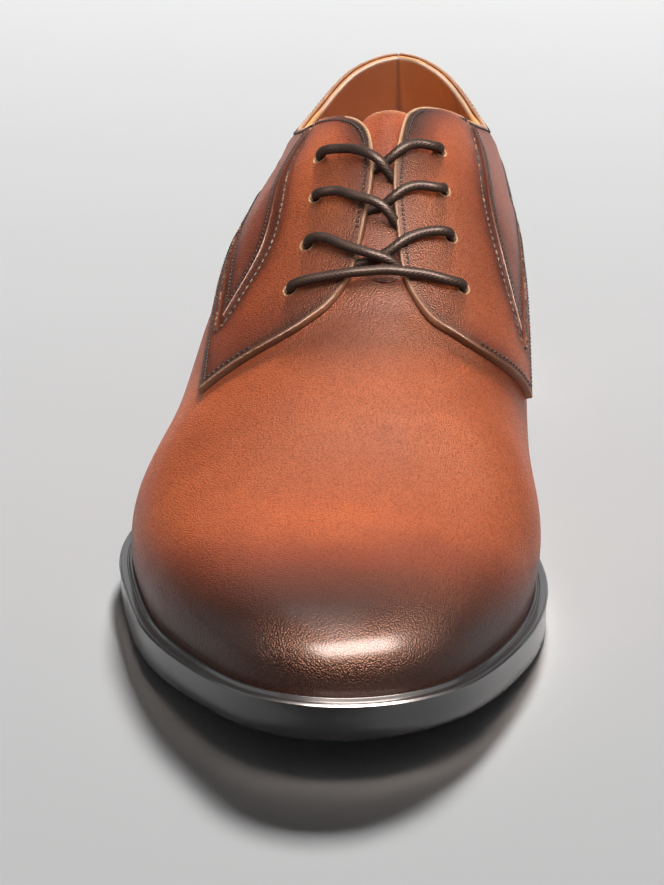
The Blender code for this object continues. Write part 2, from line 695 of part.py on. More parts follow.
def lace_strand(side, row, reach):
    """Points from near an eyelet over its facing, down across the gap to the far facing's edge."""
    lift = UPPER_WALL + LEATHER_GAP + QUARTER_WALL + SEAT_GAP + LACE_DIAMETER / 2
    station, up = eyelet_spot(row, side)
    far_station = (eyelet_spot(row, -side)[0] + eyelet_spot(row - 1, -side)[0]) / 2
    facing, far_facing = (LATERAL_FACING, MEDIAL_FACING)[::-side]
    edge = np.interp(station, *zip(*facing))
    far_edge = np.interp(far_station, *zip(*far_facing))
    shares = np.array([0.06, 0.35, 0.70, 1.0]) * (edge - up) + up
    sink = np.array([0.0, 0.05, 0.18, 0.38]) * reach
    near = skin(side * (station - sink), shares, lift)
    far = skin(-side * far_station, far_edge + 0.008, lift)
    path = np.array([*near, 0.35 * near[-1] + 0.65 * far])
    run = np.concatenate([[0], np.cumsum(np.linalg.norm(np.diff(path, axis=0), axis=1))])
    return natural_spline(run, path, np.linspace(0, run[-1], 8))


def make_laces(collection, cutters, finish):
    """The bar between the lowest eyelets, and three crossings, each one joined solid."""
    lift = UPPER_WALL + LEATHER_GAP + QUARTER_WALL + SEAT_GAP + LACE_DIAMETER / 2
    spots = [eyelet_spot(0, side) for side in (-1, 1)]
    middle = (spots[0][0] + spots[1][0]) / 2
    path = []
    for side, (station, up) in zip((-1, 1), spots):
        shares = up + np.array([0.02, 0.07, 0.14])
        stations = station + (middle - station) * np.array([0.1, 0.5, 1.0])
        half = skin(side * stations, shares, lift)
        path.append(half if side < 0 else half[::-1])
    path = np.concatenate(path)
    run = np.concatenate([[0], np.cumsum(np.linalg.norm(np.diff(path, axis=0), axis=1))])
    lace_tube("lace_bar", natural_spline(run, path, np.linspace(0, run[-1], 10)), collection, finish)
    for row in range(1, EYELETS):
        over = lace_tube(f"lace_cross_{row}", lace_strand(-1, row, 0.42), collection, finish)
        under = lace_tube(f"strand_{row}", lace_strand(1, row, 0.42), cutters, finish)
        under.hide_render = True
        under.display_type = "WIRE"
        join = over.modifiers.new("join", "BOOLEAN")
        join.operation = "UNION"
        join.object = under


def main():
    for old in list(bpy.data.objects):
        bpy.data.objects.remove(old)
    shoe = bpy.data.collections.new("plain_toe_shoe")
    cutters = bpy.data.collections.new("cutters")
    for collection in (shoe, cutters):
        bpy.context.scene.collection.children.link(collection)
    cutters.hide_render = True

    cognac = material("cognac_leather", (0.42, 0.13, 0.05), 0.38)
    lining = material("tan_lining", (0.55, 0.24, 0.08), 0.6)
    rubber = material("black_rubber", (0.012, 0.012, 0.014), 0.42)
    stacked = material("black_heel", (0.014, 0.013, 0.014), 0.4)
    waxed = material("waxed_lace", (0.02, 0.014, 0.012), 0.45)

    upper = make_upper(shoe, cognac)
    quarters = {
        -1: make_quarter("quarter_lateral", -1, LATERAL_FRONT, LATERAL_FACING, LATERAL_LOWER, shoe, cognac),
        1: make_quarter("quarter_medial", 1, MEDIAL_FRONT, MEDIAL_FACING, MEDIAL_LOWER, shoe, cognac),
    }
    lines = {
        -1: (LATERAL_CHANNEL_TOP, LATERAL_CHANNEL_LOW),
        1: (MEDIAL_CHANNEL_TOP, MEDIAL_CHANNEL_LOW),
    }
    for side, quarter in quarters.items():
        for number, line in enumerate(lines[side]):
            name = f"channel_{'lateral' if side < 0 else 'medial'}_{number + 1}"
            cut_with(quarter, channel_cutter(name, side, line, cutters))
        for row in range(EYELETS):
            bore = eyelet_cutter(row, side, cutters)
            cut_with(quarter, bore)
            cut_with(upper, bore)
    make_tongue(shoe, cognac)
    make_insole(shoe, lining)
    make_welt(shoe, rubber)
    make_outsole(shoe, rubber)
    make_heel(shoe, stacked, rubber)
    make_laces(shoe, cutters, waxed)


main()
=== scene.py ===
"""Looks of the plain-toe lace-up dress shoe: leather, lining, stitches, sole unit, lace and stage.

Metres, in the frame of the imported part: +Z up, the toe toward -Y, the medial side at +X. Everything that
follows the foot is a function of a loop position t (0 at the toe, 12 at the heel, negative on the lateral
side), a share h of the way up the rib from the feather edge to the ridge, and a lift off the last.
"""

import math

import bmesh
import bpy
import numpy as np
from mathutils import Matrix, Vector


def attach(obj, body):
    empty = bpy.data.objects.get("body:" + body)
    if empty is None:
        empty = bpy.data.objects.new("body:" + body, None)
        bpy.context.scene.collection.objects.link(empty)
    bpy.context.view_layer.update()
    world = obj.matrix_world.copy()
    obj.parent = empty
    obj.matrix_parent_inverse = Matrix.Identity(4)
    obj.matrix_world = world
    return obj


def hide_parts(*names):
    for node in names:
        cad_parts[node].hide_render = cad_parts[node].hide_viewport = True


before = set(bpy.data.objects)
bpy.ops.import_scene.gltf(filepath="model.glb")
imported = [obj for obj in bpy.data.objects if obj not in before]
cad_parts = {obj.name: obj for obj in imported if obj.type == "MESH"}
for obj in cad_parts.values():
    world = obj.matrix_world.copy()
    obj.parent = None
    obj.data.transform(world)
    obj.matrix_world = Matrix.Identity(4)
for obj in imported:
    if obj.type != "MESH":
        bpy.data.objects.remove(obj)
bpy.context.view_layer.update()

bl_info = {
    "name": "Plain-toe lace-up shoe",
    "version": (1, 0, 0),
    "blender": (4, 5, 0),
    "location": "3D View > Sidebar > Shoe",
    "description": "Dresses the packed shoe with leather, lining, stitches, sole, lace and stage",
    "category": "Object",
}

MM = 0.001
LAST_LENGTH = 290 * MM
LAST_WIDTH = 98 * MM
INSTEP_HEIGHT = 95 * MM
HEEL_SEAT = 27.2 * MM
BALL_SEAT = 9.9 * MM
TOE_SEAT = 18.1 * MM
HEEL_CENTRE = 34 * MM
UPPER_WALL = 2.0 * MM
QUARTER_LIFT = 4.1 * MM
CHANNEL_FLOOR = 3.40 * MM
TONGUE_REACH = 11 * MM
TONGUE_SINK = 0.8 * MM
TONGUE_CORNER = 0.22
TONGUE_NARROW = 0.30
EYELET_BORE = 3.4 * MM
EYELET_RIM = 4.3 * MM
EYELET_SHIFT = 0.45 * MM
QUARTER_FLOOR = 2.06 * MM
PANEL_ROUND = 0.32 * MM
LEAST_WALL = 0.25 * MM
COLLAR_SKIVE = 0.9 * MM
WELD = 0.002 * MM
# Half width and lift of the eyelet edge's section, in mm
EYELET_LIP = (
    (1.62, -1.2), (1.66, -0.35), (1.80, -0.02), (2.02, 0.10), (2.22, 0.02), (2.22, -0.7), (2.0, -1.2),
)
WELT_THICKNESS = 2.6 * MM
WELT_LEDGE = 3.7 * MM
WAIST_LEDGE = 1.6 * MM
SOLE_ROUND = 1.4 * MM
INSOLE_THICKNESS = 4.6 * MM
INSOLE_MARGIN = 1.3 * MM
HEEL_TAPER = 2.2 * MM
TOP_PIECE = 6.0 * MM
LACE_FLATNESS = 0.94
SEAM_GAP = 0.6 * MM
RIB_LENGTH = 80 * MM
HEEL_STATION = 18 * MM
THROAT = 6.40
SLOT_END = 0.30
SLOT_SHARE = 0.100
EYELETS = 4

# The last's ribs from the toe to the heel: lengths as shares of LAST_LENGTH and LAST_WIDTH, angles in degrees
SECTION_COLUMNS = ("along_lat", "across_lat", "along_med", "across_med", "spine_along", "spine_across",
                   "spine_half", "lean_lat", "lean_med", "wall", "crown", "rise")
SECTIONS = (
    (1.000, 0.058, 1.000, 0.058, 0.835, 0.117, 0.000, 6.5, 6.5, 0.37, 0.57, 0),
    (0.985, -0.090, 0.987, 0.200, 0.833, 0.117, 0.000, 6.5, 9, 0.37, 0.57, 0),
    (0.940, -0.218, 0.945, 0.327, 0.827, 0.117, 0.000, 6.5, 9, 0.37, 0.57, 0),
    (0.860, -0.364, 0.870, 0.420, 0.805, 0.117, 0.000, 8, 7.5, 0.39, 0.57, 0),
    (0.770, -0.460, 0.790, 0.478, 0.755, 0.114, 0.000, 12, 7.5, 0.39, 0.55, 0),
    (0.670, -0.518, 0.700, 0.484, 0.685, 0.108, 0.000, 7, 21, 0.40, 0.52, 0),
    (0.570, -0.468, 0.600, 0.418, 0.595, 0.090, 0.000, 13.5, 34, 0.42, 0.43, 0),
    (0.460, -0.424, 0.480, 0.352, 0.490, 0.070, 0.000, 17, 44, 0.44, 0.33, 0),
    (0.350, -0.366, 0.360, 0.304, 0.385, 0.060, 0.018, 14, 40, 0.44, 0.33, 16),
    (0.230, -0.333, 0.230, 0.312, 0.270, 0.038, 0.118, 13, 30, 0.42, 0.39, 55),
    (0.110, -0.290, 0.110, 0.290, 0.150, 0.026, 0.155, 17, 20, 0.42, 0.41, 68),
    (0.030, -0.175, 0.030, 0.185, 0.070, 0.014, 0.102, 17, 18, 0.42, 0.41, 72),
    (0.000, 0.005, 0.000, 0.005, 0.045, 0.005, 0.000, 17, 17, 0.42, 0.41, 72),
)
# Ridge: share of the length from the back, share of INSTEP_HEIGHT
RIDGE = (
    (0.00, 1.090), (0.15, 1.100), (0.28, 1.083), (0.42, 1.003), (0.52, 0.812), (0.61, 0.635),
    (0.69, 0.529), (0.755, 0.442), (0.805, 0.400), (0.835, 0.383), (1.00, 0.239),
)
# Feather edge and tread: share of the length from the back, then shares of the toe's and the heel's rise
SEAT = (
    (0.00, 0.00, 1.06), (0.08, 0.00, 1.00), (0.18, 0.00, 0.91), (0.34, 0.00, 0.60), (0.50, 0.00, 0.22),
    (0.62, 0.05, 0.00), (0.74, 0.03, 0.00), (0.86, 0.33, 0.00), (1.00, 1.00, 0.00),
)
TREAD = (
    (-0.03, 0.00, 0.80), (0.12, 0.00, 0.73), (0.26, 0.00, 0.62), (0.34, 0.00, 0.48), (0.42, 0.00, 0.31),
    (0.50, 0.00, 0.14), (0.56, 0.00, 0.035), (0.60, 0.00, 0.00), (0.76, 0.00, 0.00), (0.86, 0.36, 0.00),
    (1.03, 1.12, 0.00),
)
# Top line: station, share up the rib on the lateral side and on the medial side
TOP_LINE = (
    (8.02, 0.938, 0.985), (8.27, 0.892, 0.968), (8.47, 0.860, 0.926), (8.80, 0.805, 0.864),
    (9.10, 0.762, 0.805), (9.50, 0.700, 0.735), (9.95, 0.655, 0.665), (10.30, 0.680, 0.668),
    (10.60, 0.735, 0.718), (10.90, 0.785, 0.775), (11.20, 0.820, 0.818), (11.60, 0.848, 0.852),
    (12.00, 0.856, 0.856),
)
# Edges of the quarters by side, -1 lateral and 1 medial: station, share up the rib
FRONT = {
    -1: ((5.56, 0.485), (5.73, 0.618), (5.92, 0.757), (6.13, 0.850)),
    1: ((6.50, 0.345), (6.30, 0.490), (6.11, 0.669), (6.12, 0.842)),
}
FACING = {
    -1: ((6.13, 0.850), (6.35, 0.900), (6.80, 0.940), (7.20, 0.962), (7.55, 0.970), (7.75, 0.967),
         (7.90, 0.957), (8.02, 0.938)),
    1: ((6.12, 0.842), (6.37, 0.920), (6.80, 0.954), (7.20, 0.976), (7.60, 0.986), (7.94, 0.989),
        (8.15, 0.984), (8.27, 0.968)),
}
LOWER = {
    -1: ((5.56, 0.485), (5.90, 0.462), (6.40, 0.432), (7.20, 0.425), (8.60, 0.415), (10.4, 0.420),
         (12.0, 0.430)),
    1: ((6.50, 0.345), (6.80, 0.356), (7.20, 0.370), (7.80, 0.388), (8.80, 0.405), (10.4, 0.420),
        (12.0, 0.430)),
}
CHANNEL_TOP = {
    -1: ((8.72, 0.850), (8.30, 0.735), (7.72, 0.675), (7.20, 0.660), (6.86, 0.625), (6.64, 0.570),
         (6.40, 0.496)),
    1: ((9.02, 0.850), (8.62, 0.770), (8.10, 0.705), (7.55, 0.665), (7.18, 0.590), (6.94, 0.510),
        (6.80, 0.444)),
}
CHANNEL_LOW = {
    -1: ((6.30, 0.490), (6.80, 0.478), (7.60, 0.486), (9.00, 0.486), (10.6, 0.490), (12.0, 0.498)),
    1: ((6.70, 0.426), (7.20, 0.446), (7.80, 0.458), (9.00, 0.472), (10.6, 0.488), (12.0, 0.498)),
}
# Each eyelet row's station and share up the rib, lateral and then medial
EYELET_ROWS = (
    (6.35, 0.744, 6.56, 0.740), (6.73, 0.780, 6.92, 0.788), (7.15, 0.800, 7.29, 0.828),
    (7.60, 0.812, 7.70, 0.862),
)

# The lace's route from its eyelet over the facing and down under the other one, in mm, across, along and up
LACE_ROUTES = {
    "lace_bottom_bar": (
        (-11.8, -128.5, 72.3), (-6.9, -129.0, 73.6), (-0.3, -129.2, 75.0), (4.8, -129.0, 75.6),
        (10.0, -128.8, 75.9), (15.1, -128.5, 75.4), (19.0, -127.7, 74.7), (23.6, -126.8, 73.3),
        (26.4, -125.5, 72.2)),
    "lace_over_1": (
        (-10.9, -117.0, 80.2), (-7.1, -118.9, 80.7), (-3.7, -121.4, 80.2), (0.4, -123.6, 79.6),
        (4.5, -125.0, 79.0), (7.9, -125.2, 78.0), (11.0, -124.6, 76.1), (12.9, -123.9, 74.3)),
    "lace_under_1": (
        (23.7, -113.1, 81.6), (19.9, -115.4, 82.4), (15.6, -118.1, 82.1), (12.4, -120.3, 80.9),
        (9.4, -121.5, 78.7), (5.8, -122.1, 76.7), (1.7, -122.5, 75.2), (-0.6, -122.4, 74.4)),
    "lace_over_2": (
        (-10.6, -104.5, 88.6), (-6.7, -105.6, 89.6), (-2.3, -108.3, 89.6), (0.8, -110.0, 89.3),
        (3.8, -111.2, 89.0), (6.5, -112.0, 87.9), (8.7, -112.4, 85.6), (10.6, -112.3, 83.0)),
    "lace_under_2": (
        (21.1, -101.9, 90.1), (17.2, -103.7, 91.1), (13.3, -105.5, 91.2), (10.8, -106.9, 90.2),
        (8.8, -107.8, 88.6), (6.7, -107.7, 86.8), (4.3, -107.6, 85.5), (1.8, -108.1, 84.8)),
    "lace_over_3": (
        (-10.7, -89.5, 95.8), (-7.0, -91.2, 96.9), (-3.6, -93.1, 97.6), (-0.5, -95.6, 97.8),
        (2.1, -97.6, 97.5), (4.4, -98.8, 96.4), (6.3, -99.2, 94.3), (8.0, -99.0, 91.9)),
    "lace_under_3": (
        (18.5, -88.6, 97.6), (15.4, -90.1, 98.6), (12.3, -92.0, 98.8), (9.8, -94.1, 97.9),
        (7.8, -95.1, 96.3), (5.7, -95.4, 94.4), (3.8, -95.6, 93.0), (1.6, -96.2, 92.2)),
}
ROUTE_EYELETS = {
    "lace_bottom_bar": ((0, -1), (0, 1)),
    "lace_over_1": ((1, -1),), "lace_under_1": ((1, 1),),
    "lace_over_2": ((2, -1),), "lace_under_2": ((2, 1),),
    "lace_over_3": ((3, -1),), "lace_under_3": ((3, 1),),
}

# The camera fitted to the photo: degrees, metres, and its focal length in pixels of the photo's height
CAMERA_AZIMUTH, CAMERA_ELEVATION = 5.47, 22.26
CAMERA_DISTANCE = 0.7162
CAMERA_TARGET = (-0.0031, -0.1492, 0.0356)
CAMERA_FOCUS, PHOTO_HEIGHT = 2787, 885

# Where the upper's lowest row lies on the rib, and how many path points a rounded corner takes
FOOT_SHARE = 0.004
CORNER_REACH = 34
STATIONS = len(SECTIONS) - 1
PATH_SCALE = np.array([0.35, 1.0])
TABLE = np.array(SECTIONS, float)
LOOP = np.arange(-STATIONS, STATIONS + 1)


def unit(vectors):
    """Vectors at length 1."""
    return vectors / np.linalg.norm(vectors, axis=-1)[..., None]


def rounding(away, radius):
    """Fall of a rounded edge: a quarter circle, from the radius at the edge to 0 at the radius inside it."""
    return radius * (1 - np.sqrt(np.clip(1 - (1 - np.clip(away / radius, 0, 1)) ** 2, 0, 1)))


def smooth(low, high, value):
    """Eased step: 0 below low, 1 above high, 3x^2 - 2x^3 between."""
    x = np.clip((np.asarray(value, float) - low) / (high - low), 0, 1)
    return x * x * (3 - 2 * x)


def natural_spline(knots, values, at):
    """Cubic spline through values at knots, straight at both ends."""
    knots, values, at = (np.asarray(a, float) for a in (knots, values, at))
    count = len(knots)
    span = np.diff(knots)
    matrix = np.eye(count)
    right = np.zeros(values.shape)
    for i in range(1, count - 1):
        matrix[i, i - 1:i + 2] = span[i - 1], 2 * (span[i - 1] + span[i]), span[i]
        after = (values[i + 1] - values[i]) / span[i]
        before = (values[i] - values[i - 1]) / span[i - 1]
        right[i] = 6 * (after - before)
    bend = np.linalg.solve(matrix, right)
    k = np.clip(np.searchsorted(knots, at, side="right") - 1, 0, count - 2)
    tail = (...,) + (None,) * (values.ndim - 1)
    u, v, width = (knots[k + 1] - at)[tail], (at - knots[k])[tail], span[k][tail]
    curved = (bend[k] * u ** 3 + bend[k + 1] * v ** 3) / (6 * width)
    near = (values[k] / width - bend[k] * width / 6) * u
    far = (values[k + 1] / width - bend[k + 1] * width / 6) * v
    return curved + near + far


def easing_spline(knots, values, at):
    """Cubic through values at knots that never overshoots, and is flat between equal values."""
    x, y, at = (np.asarray(a, float) for a in (knots, values, at))
    span = np.diff(x)
    slope = np.diff(y) / span
    tangent = np.zeros(len(x))
    for i in range(1, len(x) - 1):
        if slope[i - 1] * slope[i] > 0:
            w1, w2 = 2 * span[i] + span[i - 1], span[i] + 2 * span[i - 1]
            tangent[i] = (w1 + w2) / (w1 / slope[i - 1] + w2 / slope[i])
    k = np.clip(np.searchsorted(x, at, side="right") - 1, 0, len(x) - 2)
    t = np.clip((at - x[k]) / span[k], 0, 1)
    start = (1 + 2 * t) * (1 - t) ** 2 * y[k] + t * (1 - t) ** 2 * span[k] * tangent[k]
    return start + t ** 2 * (3 - 2 * t) * y[k + 1] + t ** 2 * (t - 1) * span[k] * tangent[k + 1]


def closed_spline(values, at):
    """Smooth closed curve through a loop of values, one a step, the last equal to the first."""
    wrap = 3
    last = len(values) - 1
    padded = np.concatenate([values[last - wrap:last], values, values[1:wrap + 1]])
    return natural_spline(np.arange(-wrap, last + wrap + 1), padded, at)


def run_of(path, scale=1.0):
    """Length along a path of points, from 0 at its first."""
    steps = np.linalg.norm(np.diff(np.asarray(path) * scale, axis=0), axis=-1)
    return np.concatenate([[0], np.cumsum(steps)])


def smooth_path(points, shares):
    """Places (station, up) at shares of the length of a smooth curve through points."""
    points = np.array(points, float)
    knots = run_of(points, PATH_SCALE)
    dense = natural_spline(knots, points, np.linspace(0, knots[-1], 400))
    return along_path(dense, shares)


def along_path(dense, shares, scale=PATH_SCALE):
    """Places at shares of the length of a polyline."""
    run = run_of(dense, scale)
    return np.stack([np.interp(shares * run[-1], run, dense[:, i]) for i in range(dense.shape[1])], -1)


def around(lateral, medial):
    """One value for each station of the loop, from the heel along the lateral side, the toe and back."""
    i, j = SECTION_COLUMNS.index(lateral), SECTION_COLUMNS.index(medial)
    return np.concatenate([TABLE[::-1, i], TABLE[1:, j]])


def seat_height(s):
    """Height of the feather edge over the floor, s from the back of the last."""
    along, toe, heel = np.array(SEAT, float).T
    rise = BALL_SEAT + toe * (TOE_SEAT - BALL_SEAT) + heel * (HEEL_SEAT - BALL_SEAT)
    return natural_spline(along, rise, np.asarray(s) / LAST_LENGTH)


def ridge_height(s):
    """Height of the last's ridge over the floor."""
    along, height = np.array(RIDGE, float).T
    return natural_spline(along, height * INSTEP_HEIGHT, np.asarray(s) / LAST_LENGTH)


def tread_height(s):
    """Height of the outsole's underside over the floor, flat under the ball."""
    along, toe, heel = np.array(TREAD, float).T
    height = toe * (TOE_SEAT - BALL_SEAT) + heel * HEEL_SEAT
    return easing_spline(along, height, np.asarray(s) / LAST_LENGTH)


def feather(t):
    """The last's lower edge, as (across, along)."""
    across = around("across_lat", "across_med") * LAST_WIDTH
    along = around("along_lat", "along_med") * LAST_LENGTH
    return closed_spline(np.column_stack([across, along]), np.asarray(t, float) + STATIONS)


def ribs(t):
    """The four Bezier points of the rib at each t, as (across, along, height)."""
    t = np.asarray(t, float)
    edge = feather(t)
    side = np.where(LOOP < 0, -1.0, 1.0)
    along = easing_spline(LOOP, around("spine_along", "spine_along"), t) * LAST_LENGTH
    middle = easing_spline(LOOP, around("spine_across", "spine_across"), t) * LAST_WIDTH
    half = easing_spline(LOOP, around("spine_half", "spine_half") * side, t) * LAST_WIDTH
    top = ridge_height(along)
    step = 0.2 * MM
    slope = (ridge_height(along + step) - top) / step
    foot = np.stack([edge[..., 0], edge[..., 1], seat_height(edge[..., 1])], -1)
    head = np.stack([middle + half, along, top], -1)
    chord = np.linalg.norm(head - foot, axis=-1)[..., None]
    inward = unit((head - foot)[..., :2])
    lean = np.radians(easing_spline(LOOP, around("lean_lat", "lean_med"), t))[..., None]
    rise = np.radians(easing_spline(LOOP, around("rise", "rise"), t))
    wall = easing_spline(LOOP, around("wall", "wall"), t)[..., None]
    crown = easing_spline(LOOP, around("crown", "crown"), t)[..., None]
    up = np.concatenate([-np.sin(lean) * inward, np.cos(lean)], -1)
    climb = np.tan(rise) + slope * inward[..., 1] * np.clip(1 - rise / math.radians(30), 0, 1)
    over = unit(np.concatenate([inward, climb[..., None]], -1))
    return foot, foot + wall * chord * up, head - crown * chord * over, head


def on_last(t, h):
    """Points of the last, in the shoe's frame: the rib's cubic Bezier at share h."""
    a, b, c, d = ribs(t)
    h = np.asarray(h, float)[..., None]
    points = (1 - h) ** 3 * a + 3 * h * (1 - h) ** 2 * b + 3 * h ** 2 * (1 - h) * c + h ** 3 * d
    points[..., 1] = HEEL_CENTRE - points[..., 1]
    return points


def outward(t, h):
    """Directions straight out of the last: the cross product of its two slopes."""
    e = 1e-3
    along = on_last(t + e, h) - on_last(t - e, h)
    up = on_last(t, np.minimum(h + e, 1)) - on_last(t, np.maximum(h - e, 0))
    normal = np.cross(along, up)
    length = np.linalg.norm(normal, axis=-1)
    meeting = length < 1e-15
    if meeting.any():
        normal[meeting] = outward(t[meeting], h[meeting] - 10 * e)
        length[meeting] = 1
    return normal / length[..., None]


def skin(t, h, lift=0.0):
    """Points lift outside the last."""
    t, h, lift = (np.array(a, float) for a in np.broadcast_arrays(t, h, lift))
    return on_last(t, h) + outward(t, h) * lift[..., None]


def edge_line(t, out):
    """The feather line moved outward by out, as (across, along) in the shoe's frame."""
    t = np.asarray(t, float)
    e = 1e-3
    turned = [np.where(abs(v) > STATIONS, v - np.sign(v) * 2 * STATIONS, v) for v in (t - e, t + e)]
    before, after = (feather(v) for v in turned)
    run = unit(after - before)
    line = feather(t) + np.stack([-run[..., 1], run[..., 0]], -1) * np.asarray(out)[..., None]
    return np.stack([line[..., 0], HEEL_CENTRE - line[..., 1]], -1)


def top_share(station, side):
    """Share up the rib of the top line at a station, on a side."""
    stations, lateral, medial = np.array(TOP_LINE, float).T
    return easing_spline(stations, lateral if side < 0 else medial, station)


def slot_share(station):
    """Share up the rib of the edge of the upper's throat opening, round at its front end."""
    run = np.clip((np.abs(station) - THROAT) / SLOT_END, 0, 1)
    return 1 - SLOT_SHARE * np.sqrt(run * (2 - run))


def upper_top(t):
    """Share up the rib where the upper ends: the ridge, then the throat's edge, then the top line."""
    station = np.abs(t)
    line = np.where(t < 0, top_share(station, -1), top_share(station, 1))
    line = np.where(station < TOP_LINE[1][0], 1.0, line)
    return np.where(station <= THROAT, 1.0, np.minimum(slot_share(station), line))


def ledge(stations):
    """How far the welt's edge stands out from the last, narrower at the waist."""
    waist = np.exp(-((np.asarray(stations) - 8.2) / 1.6) ** 2)
    return UPPER_WALL + WELT_LEDGE - waist * (WELT_LEDGE - WAIST_LEDGE)


def creases(points):
    """Lift of the vamp's soft troughs and ridges: a cosine wave across the shoe where the toe breaks."""
    along = HEEL_CENTRE - points[..., 1]
    x = points[..., 0]
    lift = 0
    for place, width, depth, centre, reach, bow in (
            (0.1685, 4.0, 0.34, 0.010, 0.024, 12), (0.1760, 3.0, 0.12, 0.004, 0.020, 9),
            (0.2265, 9.0, 0.16, -0.006, 0.034, 7), (0.2120, 7.0, 0.10, 0.020, 0.026, 6)):
        off = (along - place - bow * (x - centre) ** 2) / (width * MM)
        fade = np.exp(-((x - centre) / reach) ** 4)
        lift = lift - depth * MM * np.exp(-off ** 2) * fade
    return lift


# Mesh writing

def quads(rows, columns, wrap_rows=False, wrap_columns=False, flip=False):
    """Corner numbers of the quads of a grid of points, wrapped round where asked."""
    i = np.arange(rows if wrap_rows else rows - 1)[:, None]
    j = np.arange(columns if wrap_columns else columns - 1)[None, :]
    i2, j2 = (i + 1) % rows, (j + 1) % columns
    face = np.stack([i * columns + j, i2 * columns + j, i2 * columns + j2, i * columns + j2], -1)
    face = face.reshape(-1, 4)
    return face[:, ::-1] if flip else face


def write_piece(name, points, faces, finish, replaces=(), marks=None, merge=0.0, recalculate=False,
                sharp=60):
    """A mesh object at the origin that rides on the shoe. marks are numbers for each point, by name."""
    mesh = bpy.data.meshes.new(name)
    points = np.asarray(points, float).reshape(-1, 3)
    faces = [tuple(face) for face in (faces.tolist() if isinstance(faces, np.ndarray) else faces)]
    mesh.from_pydata(points.tolist(), [], faces)
    for key, values in (marks or {}).items():
        layer = mesh.attributes.new(key, "FLOAT", "POINT")
        layer.data.foreach_set("value", np.asarray(values, np.float32).ravel())
    if merge or recalculate:
        work = bmesh.new()
        work.from_mesh(mesh)
        if merge:
            bmesh.ops.remove_doubles(work, verts=work.verts, dist=merge)
            bmesh.ops.dissolve_degenerate(work, edges=work.edges, dist=merge / 10)
        if recalculate:
            bmesh.ops.recalc_face_normals(work, faces=work.faces)
        work.to_mesh(mesh)
        work.free()
    made = bpy.data.objects.new(name, mesh)
    bpy.context.scene.collection.objects.link(made)
    mesh.materials.append(finish)
    mesh.shade_smooth()
    mesh.set_sharp_from_angle(angle=math.radians(sharp))
    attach(made, "root")
    if replaces:
        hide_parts(*replaces)
    return made


def far_from(points, line):
    """Distance of each point to the nearest of a line's points."""
    flat = points.reshape(-1, 3)
    nearest = np.empty(len(flat))
    for start in range(0, len(flat), 4000):
        part = flat[start:start + 4000]
        nearest[start:start + 4000] = np.sqrt(((part[:, None] - line[None]) ** 2).sum(-1).min(1))
    return nearest.reshape(points.shape[:-1])


def border_of(grid):
    """A grid's outer points, once round."""
    return np.concatenate([grid[:-1, 0], grid[-1, :-1], grid[:0:-1, -1], grid[0, :0:-1]])


def slab(top, bottom, flip):
    """Points and quads of a plate between two grids of the same shape, walled round their borders."""
    rows, columns = top.shape[:2]
    count = rows * columns
    points = np.concatenate([top.reshape(-1, 3), bottom.reshape(-1, 3)])
    numbers = np.arange(count).reshape(rows, columns)
    rim = border_of(numbers[..., None])[:, 0]
    after = np.roll(rim, -1)
    wall = np.stack([rim, rim + count, after + count, after], -1)
    faces = np.concatenate([quads(rows, columns, flip=flip), quads(rows, columns, flip=not flip) + count,
                            wall if flip else wall[:, ::-1]])
    return points, faces


def blend_edges(low, top, start, end):
    """Places of a Coons patch: low and top run along it, start and end run up it."""
    low_run, top_run, rise = (run_of(edge, PATH_SCALE) for edge in (low, top, start))
    u = low_run / low_run[-1] * 0.5 + top_run / top_run[-1] * 0.5
    v = rise / rise[-1]
    u, v = u[:, None, None], v[None, :, None]
    between = (1 - v) * low[:, None] + v * top[:, None] + (1 - u) * start[None] + u * end[None]
    corners = (1 - u) * (1 - v) * low[0] + u * (1 - v) * low[-1] + (1 - u) * v * top[0] + u * v * top[-1]
    return between - corners


def crowded(count, rim=0.012):
    """Shares from 0 to 1 with extra ones close to both ends."""
    near = np.array([0, 0.12, 0.3, 0.6, 1.0]) * rim
    return np.concatenate([near, np.linspace(rim, 1 - rim, count)[1:-1], 1 - near[::-1]])


# Shader recipes

class Amount:
    """A number that varies over the surface: a socket on which sums add Math nodes."""

    def __init__(self, recipe, socket):
        self.recipe, self.socket = recipe, socket

    def reckon(self, operation, *others):
        """The result of a Math node on this amount and the others."""
        node = self.recipe.node("ShaderNodeMath", {"operation": operation},
                                dict(enumerate([self, *others])))
        return Amount(self.recipe, node.outputs[0])

    def __add__(self, other):
        return self.reckon("ADD", other)

    __radd__ = __add__

    def __mul__(self, other):
        return self.reckon("MULTIPLY", other)

    __rmul__ = __mul__

    def __sub__(self, other):
        return self.reckon("SUBTRACT", other)

    def __rsub__(self, other):
        return (self * -1) + other

    def clamp(self):
        return self.reckon("MAXIMUM", 0.0).reckon("MINIMUM", 1.0)


